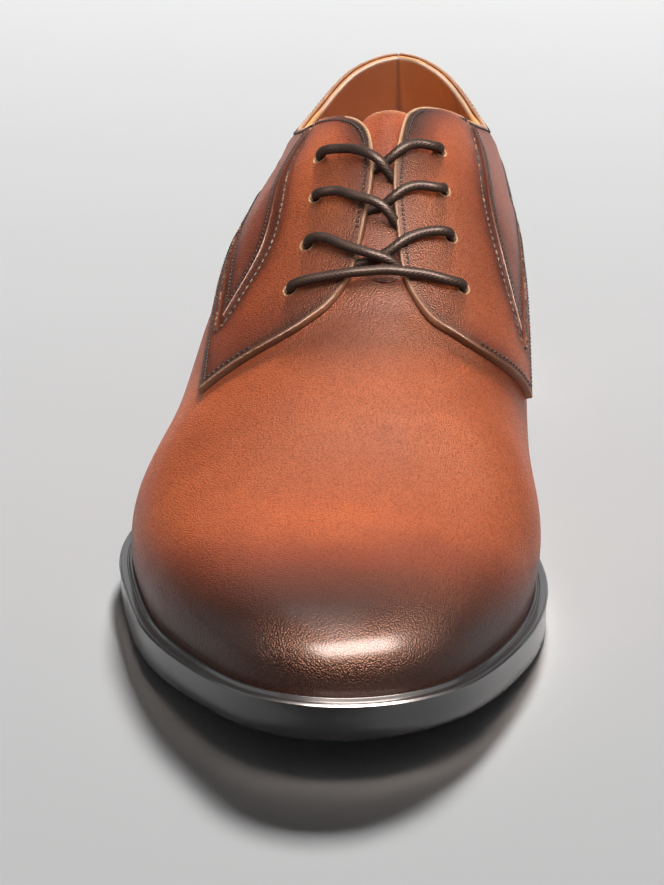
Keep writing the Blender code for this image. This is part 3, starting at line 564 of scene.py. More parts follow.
class Recipe:
    """One material and the nodes that make it."""

    def __init__(self, name, roughness=0.5, **fixed):
        self.material = bpy.data.materials.new(name)
        self.material.use_nodes = True
        self.tree = self.material.node_tree
        self.shader = self.tree.nodes["Principled BSDF"]
        self.shader.inputs["Roughness"].default_value = roughness
        for socket, value in fixed.items():
            self.shader.inputs[socket.replace("_", " ")].default_value = value
        self.place = self.node("ShaderNodeTexCoord").outputs["Object"]

    def node(self, kind, settings=None, sockets=None):
        """A node with its settings made first, then values or links put on its sockets."""
        made = self.tree.nodes.new(kind)
        for key, value in (settings or {}).items():
            if key == "stops":
                ramp = made.color_ramp
                while len(ramp.elements) < len(value):
                    ramp.elements.new(0.5)
                for element, (position, colour) in zip(ramp.elements, value):
                    element.position = position
                    element.color = (*colour, 1) if len(colour) == 3 else colour
            else:
                setattr(made, key, value)
        for key, value in (sockets or {}).items():
            self.feed(made.inputs[key], value)
        return made

    def feed(self, socket, value):
        """Puts a link, a colour or a number on a socket."""
        value = value.socket if isinstance(value, Amount) else value
        if isinstance(value, bpy.types.NodeSocket):
            self.tree.links.new(value, socket)
        elif isinstance(value, (tuple, list)) and len(value) == 3 and socket.type == "RGBA":
            socket.default_value = (*value, 1)
        else:
            socket.default_value = value

    def amount(self, socket):
        return Amount(self, socket)

    def mark(self, name):
        """A number painted on the mesh's points."""
        return self.amount(self.node("ShaderNodeAttribute", {"attribute_name": name}).outputs["Fac"])

    def noise(self, scale, detail=3, roughness=0.5):
        """Fractal noise over the piece, from 0 to 1; the scale is in ripples a metre."""
        node = self.node("ShaderNodeTexNoise", None,
                         {"Vector": self.place, "Scale": scale, "Detail": detail, "Roughness": roughness})
        return self.amount(node.outputs["Fac"])

    def cells(self, scale):
        """Distance to the nearest of many scattered points: 0 in the middle of each cell."""
        node = self.node("ShaderNodeTexVoronoi", {"feature": "F1"},
                         {"Vector": self.place, "Scale": scale, "Randomness": 1.0})
        return self.amount(node.outputs["Distance"])

    def ramp(self, amount, stops):
        return self.node("ShaderNodeValToRGB", {"stops": stops}, {"Fac": amount}).outputs["Color"]

    def step(self, amount, low, high):
        """Eased step of an amount from 0 at low to 1 at high."""
        node = self.node("ShaderNodeMapRange", {"interpolation_type": "SMOOTHSTEP"},
                         {"Value": amount, "From Min": low, "From Max": high})
        return self.amount(node.outputs["Result"])

    def mix(self, share, one, two, blend="MIX"):
        """Two colours mixed by a share. The node's colour sockets are numbers 6 and 7."""
        node = self.node("ShaderNodeMix", {"data_type": "RGBA", "blend_type": blend},
                         {0: share, 6: one, 7: two})
        return node.outputs[2]

    def split(self):
        node = self.node("ShaderNodeSeparateXYZ", None, {0: self.place})
        return [self.amount(socket) for socket in node.outputs]

    def bump(self, height, distance, strength=1.0, under=None):
        sockets = {"Height": height, "Distance": distance, "Strength": strength}
        if under is not None:
            sockets["Normal"] = under
        return self.node("ShaderNodeBump", None, sockets).outputs["Normal"]

    def finish(self, colour=None, roughness=None, normal=None, coat=None):
        """Feeds the shader and gives back the material."""
        wanted = {"Base Color": colour, "Roughness": roughness, "Normal": normal, "Coat Weight": coat}
        for key, value in wanted.items():
            if value is not None:
                self.feed(self.shader.inputs[key], value)
        return self.material


def leather_finish(name, pale, middle, dark, grain, gloss):
    """Burnished calf: a cognac base that darkens with its mark of real burnish and painted shade, mottled, with
    a fine pebble grain.
    """
    r = Recipe(name, Coat_Roughness=0.27, Coat_IOR=1.5, Specular_IOR_Level=0.26,
               Specular_Tint=(1.0, 0.52, 0.36, 1.0))
    # The burnish mark is real burnish, plus painted shade in the vamp's crease and on the tongue under the
    # laces
    burnish = r.mark("burnish")
    broad, cloud, fleck = r.noise(26, 3), r.noise(120, 4, 0.6), r.noise(700, 4, 0.65)
    mottle = (broad - 0.5) * 0.34 + (cloud - 0.5) * 0.20 + (fleck - 0.5) * 0.14
    depth = (burnish + mottle * (1.0 - burnish * 0.45)).clamp()
    between = tuple(0.42 * m + 0.58 * d for m, d in zip(middle, dark))
    tone = r.ramp(depth, ((0.0, pale), (0.30, middle), (0.62, between), (1.0, dark)))
    pebble = r.cells(1.0 / grain)
    fine = r.cells(2.2 / grain)
    pits = r.step(pebble, 0.25, 0.85)
    tone = r.mix(pits * 0.70, tone, r.mix(1.0, tone, (0.50, 0.38, 0.34), "MULTIPLY"))
    tone = r.mix(r.mark("raw").clamp(), tone, r.mix(r.noise(1500, 2), (0.98, 0.66, 0.42), (0.82, 0.42, 0.18)))
    tone = r.mix(r.mark("inside").clamp(), tone, (0.36, 0.13, 0.035))
    roughness = 0.40 + (cloud - 0.5) * 0.16 + pits * 0.10 - burnish * 0.05
    normal = r.bump(1 - pebble, 0.22 * MM, 0.85)
    normal = r.bump(1 - fine, 0.05 * MM, 0.45, normal)
    normal = r.bump(r.noise(95, 3), 0.30 * MM, 0.30, normal)
    coat = (0.15 + burnish * 0.20) * gloss - pits * 0.10
    return r.finish(tone, roughness, normal, coat)


def lining_finish(name, tan, shade):
    """Vegetable tan lining: even, matt, with painted shade that makes it darker and redder toward the sole,
    deep in the shoe.
    """
    r = Recipe(name, Coat_Roughness=0.4, Specular_IOR_Level=0.4)
    height = r.split()[2]
    # Painted shade: darker below 92 mm, deep inside the shoe; the shade mark adds darker seam lines and
    # lightens the insole
    depth = r.step(height, 92 * MM, 40 * MM) * 0.60 + r.mark("shade") + (r.noise(60, 4, 0.6) - 0.5) * 0.35
    tone = r.mix(depth.clamp(), tan, shade)
    pores = r.cells(2400)
    normal = r.bump(1 - pores, 0.05 * MM, 0.3, r.bump(r.noise(140, 3), 0.2 * MM, 0.3))
    return r.finish(tone, 0.52 + r.noise(300, 3) * 0.15, normal, 0.10 + r.noise(50, 2) * 0.10)


def rubber_finish(name, colour, roughness, ribs_scale=0.0):
    """Moulded black rubber: satin with faint mould grain, and fine ribs under the sole where asked."""
    r = Recipe(name, Coat_Roughness=0.12, Coat_IOR=1.65, Specular_IOR_Level=0.5)
    grain = r.noise(1800, 3, 0.6)
    worn = r.noise(40, 4, 0.6)
    tone = r.mix((worn * 0.6 + grain * 0.4).clamp(), colour, tuple(c * 2.2 + 0.006 for c in colour))
    normal = r.bump(grain, 0.02 * MM, 0.22)
    if ribs_scale:
        bands = {"wave_type": "BANDS", "bands_direction": "Y", "wave_profile": "SIN"}
        wave = r.node("ShaderNodeTexWave", bands, {"Vector": r.place, "Scale": ribs_scale, "Distortion": 0.0})
        tread = r.amount(wave.outputs["Fac"]) * r.mark("tread")
        normal = r.bump(tread, 0.5 * MM, 0.7, normal)
    return r.finish(tone, roughness + (worn - 0.5) * 0.14, normal, 0.62 + (worn - 0.5) * 0.1)


def thread_finish(name, colour, painted_glint):
    """Waxed sewing thread: twisted, with a little sheen and painted glints, lighter flecks of colour along it.
    """
    r = Recipe(name, roughness=0.5, Specular_IOR_Level=0.18)
    twist = r.noise(2600, 2)
    # Painted highlight: lighter flecks of the glint colour where a noise is high
    tone = r.mix(r.step(r.noise(420, 2), 0.46, 0.70), colour, painted_glint)
    return r.finish(tone, 0.5 + twist * 0.2, r.bump(twist, 0.05 * MM, 0.5), 0.02 + twist * 0.04)


def lace_finish(name, colour, painted_glint):
    """Waxed cotton lace: near black brown, with the braid read from the piece's own weave mark, and a painted
    glint on the braid's crests.
    """
    r = Recipe(name, Coat_Roughness=0.2, Specular_IOR_Level=0.20, Specular_Tint=(1.0, 0.72, 0.60, 1.0))
    weave = r.mark("weave")
    worn = r.noise(900, 3)
    # Painted highlight: the braid's crests take the lighter glint colour, in patches set by the worn noise
    tone = r.mix((r.step(weave, 0.35, 1.0) * (0.35 + worn * 0.5)).clamp(), colour, painted_glint)
    normal = r.bump(weave, 0.12 * MM, 0.8, r.bump(r.noise(3200, 2), 0.04 * MM, 0.5))
    return r.finish(tone, 0.46 + (1 - weave) * 0.25, normal, 0.02 + worn * 0.16)


# Settings

def colour_setting(name, description, default):
    return bpy.props.FloatVectorProperty(name=name, description=description, subtype="COLOR", size=3, min=0,
                                         max=1, default=default)


def length_setting(name, description, default, low, high):
    """A length between two others, all in mm."""
    return bpy.props.FloatProperty(name=name, description=description, subtype="DISTANCE", unit="LENGTH",
                                   default=default * MM, min=low * MM, max=high * MM)


def power_setting(name, description, default):
    return bpy.props.FloatProperty(name=name, description=description, subtype="POWER", unit="POWER",
                                   default=default, min=0, max=900)


class ShoeLeatherSettings(bpy.types.PropertyGroup):
    pale: colour_setting("Cognac", "Leather where it isn't burnished", (0.76, 0.175, 0.055))
    middle: colour_setting("Chestnut", "Leather where the burnish starts", (0.40, 0.080, 0.030))
    dark: colour_setting("Burnish", "Leather where it is burnished most", (0.040, 0.0105, 0.0070))
    lining: colour_setting("Lining", "Tan lining near the collar", (0.95, 0.43, 0.12))
    grain: length_setting("Grain", "Size of one pebble of the leather's grain", 0.45, 0.1, 2)
    gloss: bpy.props.FloatProperty(name="Gloss", description="Strength of the polish", default=1.0, min=0,
                                   max=2)


class ShoeSoleSettings(bpy.types.PropertyGroup):
    rubber: colour_setting("Rubber", "Sole and welt", (0.014, 0.0145, 0.017))
    bead: length_setting("Bead", "Height of the bead beside the upper", 0.7, 0, 2)
    rib_pitch: length_setting("Tread pitch", "Distance between the ribs of the tread", 3.2, 1, 9)


class ShoeLaceSettings(bpy.types.PropertyGroup):
    diameter: length_setting("Lace", "Thickness of the lace", 2.8, 1, 4)
    lace: colour_setting("Lace colour", "Waxed lace", (0.016, 0.0085, 0.0072))
    stitch: length_setting("Stitch", "Length of one stitch", 1.55, 0.5, 4)


class ShoeStageSettings(bpy.types.PropertyGroup):
    floor: colour_setting("Floor", "Pale floor", (0.60, 0.60, 0.60))
    sky: bpy.props.FloatProperty(name="Fill", description="Strength of the even light", default=0.06, min=0,
                                 max=5)
    top: power_setting("Top", "Power of the soft box over the shoe", 3.3)
    sheen: power_setting("Sheen", "Power of the box that the vamp reflects", 4.2)
    surround: power_setting("Surround", "Power of each box around the shoe", 3.2)
    key: power_setting("Key", "Power of the light behind the shoe", 164)
    front: power_setting("Front", "Power of the soft box over the toe", 400)


def leather_of(scene):
    """The upper's leather, made once."""
    held = bpy.data.materials.get("burnished_calf")
    s = scene.shoe_leather
    tones = [tuple(tone) for tone in (s.pale, s.middle, s.dark)]
    return held or leather_finish("burnished_calf", *tones, s.grain, s.gloss)


def leather_marks(count, burnish, raw=0.0, inside=0.0):
    """What the leather reads from each point: how rubbed, and where shade is painted in, how bare at a cut, how
    far on the flesh side.
    """
    marks = {"burnish": burnish, "raw": raw, "inside": inside}
    return {key: np.broadcast_to(np.ravel(value), count) for key, value in marks.items()}


def lining_of(scene):
    held = bpy.data.materials.get("tan_lining_leather")
    return held or lining_finish("tan_lining_leather", tuple(scene.shoe_leather.lining), (0.30, 0.10, 0.028))


# Upper

def toe_burnish_and_crease_shade(points, h):
    """How dark the upper is rubbed: rising from the vamp to the toe, and close to the sole, with a painted
    shade along the vamp's crease in front of the throat.
    """
    along = (HEEL_CENTRE - points[..., 1]) / LAST_LENGTH
    over = points[..., 2] - seat_height(HEEL_CENTRE - points[..., 1])
    toe = smooth(0.81, 1.04, along + 0.085 * smooth(30 * MM, 6 * MM, over))
    side = smooth(13 * MM, 1 * MM, over) * (0.28 + 0.45 * smooth(0.60, 0.80, along))
    # Painted shade: a dark line in the trough of the vamp's crease in front of the throat
    throat = 0.16 * np.exp(-((along - 0.578) / 0.012) ** 2) * smooth(0.84, 0.97, h)
    return np.clip(0.10 + 0.95 * toe + side * (1 - toe) + throat, 0, 1)


def upper_shell(low_lift, high_lift, height, rise, soft, collar=0.0):
    """A wall round the last that is closed at its foot and its top: rows up the outside, a round rim, down
    the inside. soft says whether it carries the creases, collar how much thicker it grows at the top line."""
    half = np.concatenate([np.linspace(0, 5.9, 104), np.linspace(5.95, THROAT, 12),
                           THROAT + np.linspace(0, 1, 20)[1:] ** 2 * 0.5, np.linspace(6.95, 11.96, 104)])
    t = np.concatenate([-half[::-1], half[1:]])
    t = np.concatenate([t, [STATIONS]])
    top = upper_top(t) - rise / RIB_LENGTH * (np.abs(t) > TOP_LINE[1][0])
    share = np.linspace(0, 1, height)
    share = share + 0.10 * np.sin(2 * np.pi * share) / (2 * np.pi)
    rows = FOOT_SHARE + (1 - FOOT_SHARE) * share[None] - (1 - top[:, None]) * share[None] ** 2.5
    swell = collar * smooth(8.0, 8.6, np.abs(t))[:, None]
    grown = high_lift + swell * smooth(5 * MM, 2 * MM, (top[:, None] - rows) * RIB_LENGTH)
    high_lift = high_lift + swell
    thick = high_lift - low_lift
    turn = np.linspace(0, np.pi, 7)[1:-1]
    outer = skin(t[:, None], rows, grown)
    if soft:
        each = np.broadcast_to(t[:, None], rows.shape).copy()
        outer = outer + outward(each, rows) * creases(outer)[..., None]
    inner = skin(t[:, None], rows[:, ::-1], low_lift)
    middle = (low_lift + high_lift) / 2
    rim_base = skin(t[:, None], top[:, None] + 0 * turn[None], middle + thick / 2 * np.cos(turn)[None])
    climb = unit(skin(t, top, middle[:, 0]) - skin(t, top - 0.01, middle[:, 0]))
    rim = rim_base + climb[:, None] * (thick / 2 * np.sin(turn)[None])[..., None]
    points = np.concatenate([outer, rim, inner], 1)
    shares = np.concatenate([rows, top[:, None] + 0 * turn[None], rows[:, ::-1]], 1)
    # In front of the throat both sides share the ridge, with no rim between them
    count, columns = points.shape[:2]
    ahead = np.flatnonzero(np.abs(t) <= THROAT + 1e-9)
    for column in (height - 1, height + len(turn)):
        shared = (points[ahead, column] + points[ahead[::-1], column]) / 2
        points[ahead, column] = shared
    faces = quads(count, columns, True, True)
    column_of = faces % columns
    row_of = faces // columns
    in_rim = (column_of.min(1) >= height - 1) & (column_of.max(1) <= height + len(turn))
    in_front = np.isin(row_of, ahead).all(1)
    return t, points, shares, faces[~(in_rim & in_front)]


class SHOE_OT_upper(bpy.types.Operator):
    """Make the upper's leather and its lining"""
    bl_idname = "shoe.upper"
    bl_label = "Upper and lining"

    def execute(self, context):
        outside = 74
        t, points, shares, faces = upper_shell(0.95 * MM, UPPER_WALL, outside, 3.5 * MM, True)
        n, m = points.shape[:2]
        burnish = toe_burnish_and_crease_shade(points, shares)
        burnish = burnish + 0.15 * smooth(THROAT - 1.6, THROAT + 2.0, np.abs(t))[:, None]
        raw = np.zeros((n, m))
        raw[:, outside:outside + 5] = 0.6
        raw = raw * (np.abs(t)[:, None] > THROAT)
        leather = leather_of(context.scene)
        made = write_piece("upper_leather", points, faces, leather, ("upper",),
                           leather_marks(n * m, burnish, raw), merge=WELD)
        pierce(made, (-1, 1))
        t, points, shares, faces = upper_shell(0.02 * MM, 0.9 * MM, 60, 0.8 * MM, False, 1.1 * MM)
        n, m = points.shape[:2]
        seam = np.exp(-((np.abs(t)[:, None] - STATIONS) * HEEL_STATION / (0.9 * MM)) ** 2) * 0.7
        quarter = np.exp(-((t[:, None] - 10.75) * HEEL_STATION / (0.7 * MM)) ** 2) * 0.35
        write_piece("collar_lining", points, faces, lining_of(context.scene), (),
                    {"shade": (seam + quarter) * np.ones((n, m))}, merge=WELD)
        return {"FINISHED"}


# Quarters

def split_path(path, station):
    """A polyline cut where its station first passes a value."""
    k = int(np.argmin(np.abs(path[:, 0] - station)))
    return path[:k + 1], path[k:]


def quarter_outline(side):
    """The quarter's front edge, top edge (facing and top line), lower edge and back seam, as dense paths."""
    seam = STATIONS - 0.10 * MM / HEEL_STATION
    column = 1 if side < 0 else 2
    facing = FACING[side]
    line = [(row[0], row[column]) for row in TOP_LINE if row[0] > facing[-1][0] + 0.05]
    line[-1] = (seam, line[-1][1])
    shares = np.linspace(0, 1, 600)
    lower = [*LOWER[side][:-1], (seam, LOWER[side][-1][1])]
    front, top = smooth_path(FRONT[side], shares), smooth_path([*facing, *line], shares)
    whole = along_path(np.concatenate([front[:-1], top]), np.linspace(0, 1, 1600))
    weights = np.hanning(2 * CORNER_REACH + 1)
    weights = weights / weights.sum()
    soft = np.stack([np.convolve(whole[:, k], weights, "valid") for k in (0, 1)], -1)
    whole[CORNER_REACH:-CORNER_REACH] = soft
    k = int(np.argmin(np.linalg.norm((whole - front[-1]) * PATH_SCALE, axis=1)))
    front, top = along_path(whole[:k + 1], shares), along_path(whole[k:], shares)
    return front, top, smooth_path(lower, shares), seam


def steady(values, reach=12):
    """Each row's median over its neighbours, which takes out a lone stray one."""
    padded = np.concatenate([values[:1].repeat(reach, 0), values, values[-1:].repeat(reach, 0)])
    around_each = np.stack([padded[k:k + len(values)] for k in range(2 * reach + 1)])
    return np.median(around_each, axis=0)


def strip_edges(side):
    """The two edges of the sunk strip's upper arm and of its lower arm, as dense paths.

    Each arm's middle line is moved to either side, by half the strip's width measured on the skin."""
    edges = []
    for arm, width in ((CHANNEL_TOP[side], 3.3 * MM), (CHANNEL_LOW[side], 2.4 * MM)):
        path = smooth_path(arm, np.linspace(0, 1, 400))
        t, h = side * path[:, 0], path[:, 1]
        e = 1e-3
        per_station = (skin(t + e, h, QUARTER_LIFT) - skin(t - e, h, QUARTER_LIFT)) / (2 * e) * side
        per_share = (skin(t, h + e, QUARTER_LIFT) - skin(t, h - e, QUARTER_LIFT)) / (2 * e)
        run = np.gradient(path, axis=0)
        along = run[:, :1] * per_station + run[:, 1:] * per_share
        normal = np.cross(per_station, per_share)
        across = unit(np.cross(normal, along)) * width / 2
        basis = np.stack([per_station, per_share], -1)
        moved = np.stack([np.linalg.lstsq(b, a, rcond=None)[0] for b, a in zip(basis, across)])
        moved = steady(moved)
        edges.append((path + moved, path - moved))
    return edges


def crossing(one, two):
    """Where two paths come closest: the number of the point on each."""
    gap = np.linalg.norm((one[:, None] - two[None]) * PATH_SCALE, axis=-1)
    return np.unravel_index(np.argmin(gap), gap.shape)


def lifted_panel(places, side, thin):
    """A panel's outer and inner grids, and each point's distance from the border. The outer grid falls off
    round its border by a quarter circle, and thins toward the collar."""
    t, h = side * places[..., 0], places[..., 1]
    flat = skin(t, h, QUARTER_LIFT)
    away = far_from(flat, border_of(flat))
    lift = QUARTER_LIFT - rounding(away, PANEL_ROUND) - thin
    under = np.minimum(QUARTER_FLOOR, lift - LEAST_WALL)
    return skin(t, h, lift), skin(t, h, under), away


def under_top_line(places, side):
    """How far a place on a panel lies under the top line, measured along the rib."""
    return (top_share(np.clip(places[..., 0], TOP_LINE[0][0], STATIONS), side) - places[..., 1]) * RIB_LENGTH


def collar_thin(places, side):
    """How much the collar's edge is skived: all of it at the top line, none 7 mm under it."""
    return COLLAR_SKIVE * smooth(7 * MM, 0, under_top_line(places, side)) * smooth(8.1, 8.9, places[..., 0])


def collar_rim(places, side, reach):
    """A share that rises to 1 at the collar's top edge, from a distance under it."""
    return smooth(reach, 0.3 * reach, under_top_line(places, side)) * smooth(8.2, 8.8, places[..., 0])


def panel_burnish(away, places, side, floor):
    """Burnish of a quarter panel: dark along its edges, the collar corners and the tip."""
    edge = 0.50 * np.exp(-(away / (3.2 * MM)) ** 1.2) + 0.16 * np.exp(-((away - 2.1 * MM) / (0.5 * MM)) ** 2)
    station = places[..., 0]
    edge = edge * (1 - 0.75 * collar_rim(places, side, 5 * MM))
    corner = 0.42 * np.exp(-((station - 7.95) / 0.35) ** 2) * smooth(0.84, 0.97, places[..., 1])
    facing = 0.30 * smooth(0.86, 0.965, places[..., 1]) * smooth(8.6, 8.2, station)
    tip = 0.40 * smooth(6.55, 5.8, station)
    return np.clip(floor + edge + corner + facing + tip, 0, 1)


def eyelet(row, side):
    """An eyelet's station and share up the rib."""
    return EYELET_ROWS[row][:2] if side < 0 else EYELET_ROWS[row][2:]


def eyelet_circle(row, side, count):
    """The middle of an eyelet's bore, its axis, and directions round it, the first one down the facing."""
    station, up = eyelet(row, side)
    centre, below = (skin(side * station, share, QUARTER_LIFT) for share in (up, up - 0.02))
    out = outward(np.array([side * station]), np.array([up]))[0]
    down = unit(below - centre)
    angle = np.linspace(0, 2 * np.pi, count, endpoint=False)[:, None]
    ring = down * np.cos(angle) + np.cross(out, down) * np.sin(angle)
    return centre + down * EYELET_SHIFT, out, ring


def pierce(made, sides):
    """Bores the eyelets through a piece, marking the cut walls raw. Each bore lies a little outside its lace
    and is wider in its last millimetre, where the edge ring lies."""
    turns = 28
    profile = ((-6, EYELET_BORE), (-1.4, EYELET_BORE), (-1.3, EYELET_RIM), (1.2, EYELET_RIM))
    points, faces = [], []
    for side in sides:
        for row in range(EYELETS):
            centre, out, ring = eyelet_circle(row, side, turns)
            base = turns * len(points)
            points += [centre + out * lift * MM + ring * across / 2 for lift, across in profile]
            faces += [tuple(f) for f in (quads(len(profile), turns, False, True, True) + base).tolist()]
            end = base + turns * len(profile)
            faces += [tuple(range(base, base + turns))[::-1], tuple(range(end - turns, end))]
    mesh = bpy.data.meshes.new("bores")
    mesh.from_pydata(np.concatenate(points).tolist(), [], faces)
    work = bmesh.new()
    work.from_mesh(mesh)
    bmesh.ops.recalc_face_normals(work, faces=work.faces)
    work.to_mesh(mesh)
    work.free()
    for key, value in (("burnish", 0.1), ("raw", 1.0), ("inside", 0.0)):
        layer = mesh.attributes.new(key, "FLOAT", "POINT")
        layer.data.foreach_set("value", np.full(len(mesh.vertices), value, np.float32))
    cutter = bpy.data.objects.new("bores", mesh)
    bpy.context.scene.collection.objects.link(cutter)
    cut = made.modifiers.new("bores", "BOOLEAN")
    cut.operation, cut.object, cut.solver = "DIFFERENCE", cutter, "EXACT"
    graph = bpy.context.evaluated_depsgraph_get()
    bored = bpy.data.meshes.new_from_object(made.evaluated_get(graph))
    made.modifiers.clear()
    made.data = bored
    bpy.data.objects.remove(cutter)
    bored.set_sharp_from_angle(angle=math.radians(50))


def quarter_panels(side):
    """Places of the whole quarter, its facing panel, its side panel and the strip's two arms."""
    front, top, lower, seam = quarter_outline(side)
    (arm_a, arm_b), (low_a, low_b) = strip_edges(side)
    face_arm, wedge_arm = (arm_a, arm_b) if arm_a[200, 1] > arm_b[200, 1] else (arm_b, arm_a)
    under_arm, over_arm = (low_a, low_b) if low_a[200, 1] < low_b[200, 1] else (low_b, low_a)
    # The strip's facing edge runs from the top edge to the tip and turns back along the strip's under edge
    i, _ = crossing(face_arm, top)
    face_arm = face_arm[i:]
    p, q = crossing(face_arm[len(face_arm) // 2:], under_arm)
    inner_a = face_arm[:p + len(face_arm) // 2]
    under_arm = under_arm[q:]
    inner_a, inner_b = along_path(inner_a, crowded(150)), along_path(under_arm, crowded(120))
    inner_b[-1, 0] = seam
    corner = FACING[side][-1][0]
    facing_part, rest = split_path(top, corner)
    outer_a = np.concatenate([facing_part[::-1], front[::-1][1:]])
    outer_a = along_path(outer_a, np.linspace(0, 1, len(inner_a)))
    outer_b = along_path(lower, np.linspace(0, 1, len(inner_b)))
    k = int(np.argmin(np.abs(rest[:, 0] - inner_a[0, 0])))
    start_path = rest[:k + 1][::-1]
    v = crowded(40, 0.03)
    start = along_path(start_path, v)
    inner_a[0] = start[0]
    inner = np.concatenate([inner_a, inner_b[1:]])
    outer = np.concatenate([outer_a, outer_b[1:]])
    end = inner[-1] + (outer[-1] - inner[-1]) * v[:, None]
    facing = blend_edges(inner, outer, start, end)
    # The side panel lies inside the strip, station by station
    i2, j2 = crossing(wedge_arm, top)
    wedge_top = np.concatenate([wedge_arm[i2:][::-1], top[j2 + 1:]])
    _, q2 = crossing(wedge_arm[len(wedge_arm) // 2:], over_arm)
    apex = over_arm[q2]
    stations = np.concatenate([apex[0] + np.linspace(0, 1, 90) ** 1.3 * (wedge_arm[i2, 0] - apex[0]),
                               np.linspace(wedge_arm[i2, 0], seam, 110)[1:]])
    order = np.argsort(wedge_top[:, 0])
    high = np.interp(stations, wedge_top[order, 0], wedge_top[order, 1])
    low = np.interp(stations, over_arm[:, 0], over_arm[:, 1])
    high = np.maximum(high, low)
    shares = crowded(40, 0.03)
    wedge = np.stack([np.broadcast_to(stations[:, None], (len(stations), len(shares))),
                      low[:, None] + (high - low)[:, None] * shares[None]], -1)
    v = np.linspace(0, 1, 30)
    top_u, low_u = along_path(top, crowded(150)), along_path(lower, crowded(150))
    base = blend_edges(low_u, top_u, along_path(front, v), lower[-1] + (top[-1] - lower[-1]) * v[:, None])
    arms = []
    for one, two, first, last in ((arm_a, arm_b, min(i, i2), 399), (low_a, low_b, 0, 399)):
        one, two = (along_path(edge[first:last], np.linspace(0, 1, 150)) for edge in (one, two))
        lead = (one[0] - one[3]) * 1.2 if first == 0 else np.zeros(2)
        one, two = np.concatenate([[one[0] + lead], one]), np.concatenate([[two[0] + lead], two])
        share = np.linspace(-0.14, 1.14, 11)[None, :, None]
        arms.append(one[:, None] * (1 - share) + two[:, None] * share)
    highest = top_share(np.clip(arms[0][..., 0], TOP_LINE[0][0], STATIONS), side) - 0.004
    arms[0][..., 1] = np.minimum(arms[0][..., 1], highest)
    return base, facing, wedge, arms


def eyelet_rings(side):
    """The cut edges of the eyelets on one side: each is a ring with a rounded lip, round the bore's axis."""
    turns = 32
    lip = np.array(EYELET_LIP) * MM
    points, faces = [], []
    for row in range(EYELETS):
        centre, out, ring = eyelet_circle(row, side, turns)
        solid = centre + ring[:, None] * lip[None, :, :1] + out * lip[None, :, 1:]
        faces.append(quads(turns, len(lip), True, True) + row * turns * len(lip))
        points.append(solid.reshape(-1, 3))
    return np.concatenate(points), np.concatenate(faces)


class SHOE_OT_quarters(bpy.types.Operator):
    """Make both quarters: the facing panel, the side panel and the sunk strip between them"""
    bl_idname = "shoe.quarters"
    bl_label = "Quarters"

    def execute(self, context):
        leather = leather_of(context.scene)
        for side, word in ((-1, "lateral"), (1, "medial")):
            _, facing, wedge, arms = quarter_panels(side)
            flip = side < 0
            for number, places in enumerate(arms):
                t, h = side * places[..., 0], places[..., 1]
                top = skin(t, h, CHANNEL_FLOOR - 0.02 * MM * number - 0.9 * collar_thin(places, side))
                points, faces = slab(top, skin(t, h, QUARTER_FLOOR), flip)
                write_piece(f"strip_{number + 1}_{word}", points, faces, leather,
                            (f"quarter_{word}",), leather_marks(2 * t.size, 0.70), recalculate=True)
            panels = ((f"facing_panel_{word}", facing, 0.10), (f"side_panel_{word}", wedge, 0.30))
            for name, places, floor in panels:
                points, under, away = lifted_panel(places, side, collar_thin(places, side))
                shade = panel_burnish(away, places, side, floor)
                body, faces = slab(points, under, flip)
                outer_half = np.linspace(0, 1, places.shape[1])[None] > 0.6
                edge = smooth(0.95 * MM, 0.45 * MM, away) * smooth(8.9, 8.3, places[..., 0]) * outer_half
                edge = edge * (0.22 + 0.78 * smooth(0.74, 0.86, places[..., 1])) * name.startswith("facing")
                edge = np.maximum(edge, 0.8 * collar_rim(places, side, 1.3 * MM))
                inside = 1 - smooth(0, 0.4 * MM, 0.4 * MM - away)
                marks = leather_marks(2 * shade.size, np.stack([shade, shade]), np.stack([edge, 0.08 * edge]),
                                      np.stack([0 * inside, inside]))
                made = write_piece(name, body, faces, leather, (f"quarter_{word}",), marks,
                                   merge=WELD)
                if name.startswith("facing"):
                    pierce(made, (side,))
            points, faces = eyelet_rings(side)
            write_piece(f"eyelet_edges_{word}", points, faces, leather, (f"quarter_{word}",),
                        leather_marks(len(points), 0.1, 1.0), recalculate=True)
        return {"FINISHED"}


# Tongue and insole

def tongue_grid():
    """The tongue's inner skin: rows across the throat opening, then straight on past the facings."""
    start = THROAT - 0.02
    stations = start + (1.45 + 0.07) * np.linspace(0, 1, 60) ** 1.15
    side_share = np.linspace(-1, 1, 49)
    edge = slot_share(stations) + SEAM_GAP * 0.35 / RIB_LENGTH
    shares = edge[:, None] + (1 - edge[:, None]) * (1 - np.abs(side_share))[None]
    side = np.where(side_share < 0, -1.0, 1.0)
    lift = -TONGUE_SINK * np.clip((stations - stations[0] - 0.18) / 0.6, 0, 1)
    rows = skin(side[None] * stations[:, None], shares, lift[:, None])
    ahead = unit((rows[-1] - rows[-9]).mean(axis=0))
    corner = TONGUE_REACH * (1 - TONGUE_CORNER * np.abs(side_share) ** 4)
    centre = rows[-1].mean(axis=0)
    tail_share = np.linspace(0, 1, 26)[1:, None, None]
    narrow = np.concatenate([1 - TONGUE_NARROW * tail_share ** 2, 0 * tail_share + 1, 0 * tail_share + 1], -1)
    tail = centre + (rows[-1] - centre)[None] * narrow + ahead * (corner[None, :, None] * tail_share)
    return np.concatenate([rows, tail])


def grid_normals(points):
    """Directions across a grid's two slopes."""
    a, b = np.gradient(points, axis=0), np.gradient(points, axis=1)
    normal = np.cross(a, b)
    return normal / np.maximum(np.linalg.norm(normal, axis=-1), 1e-12)[..., None]


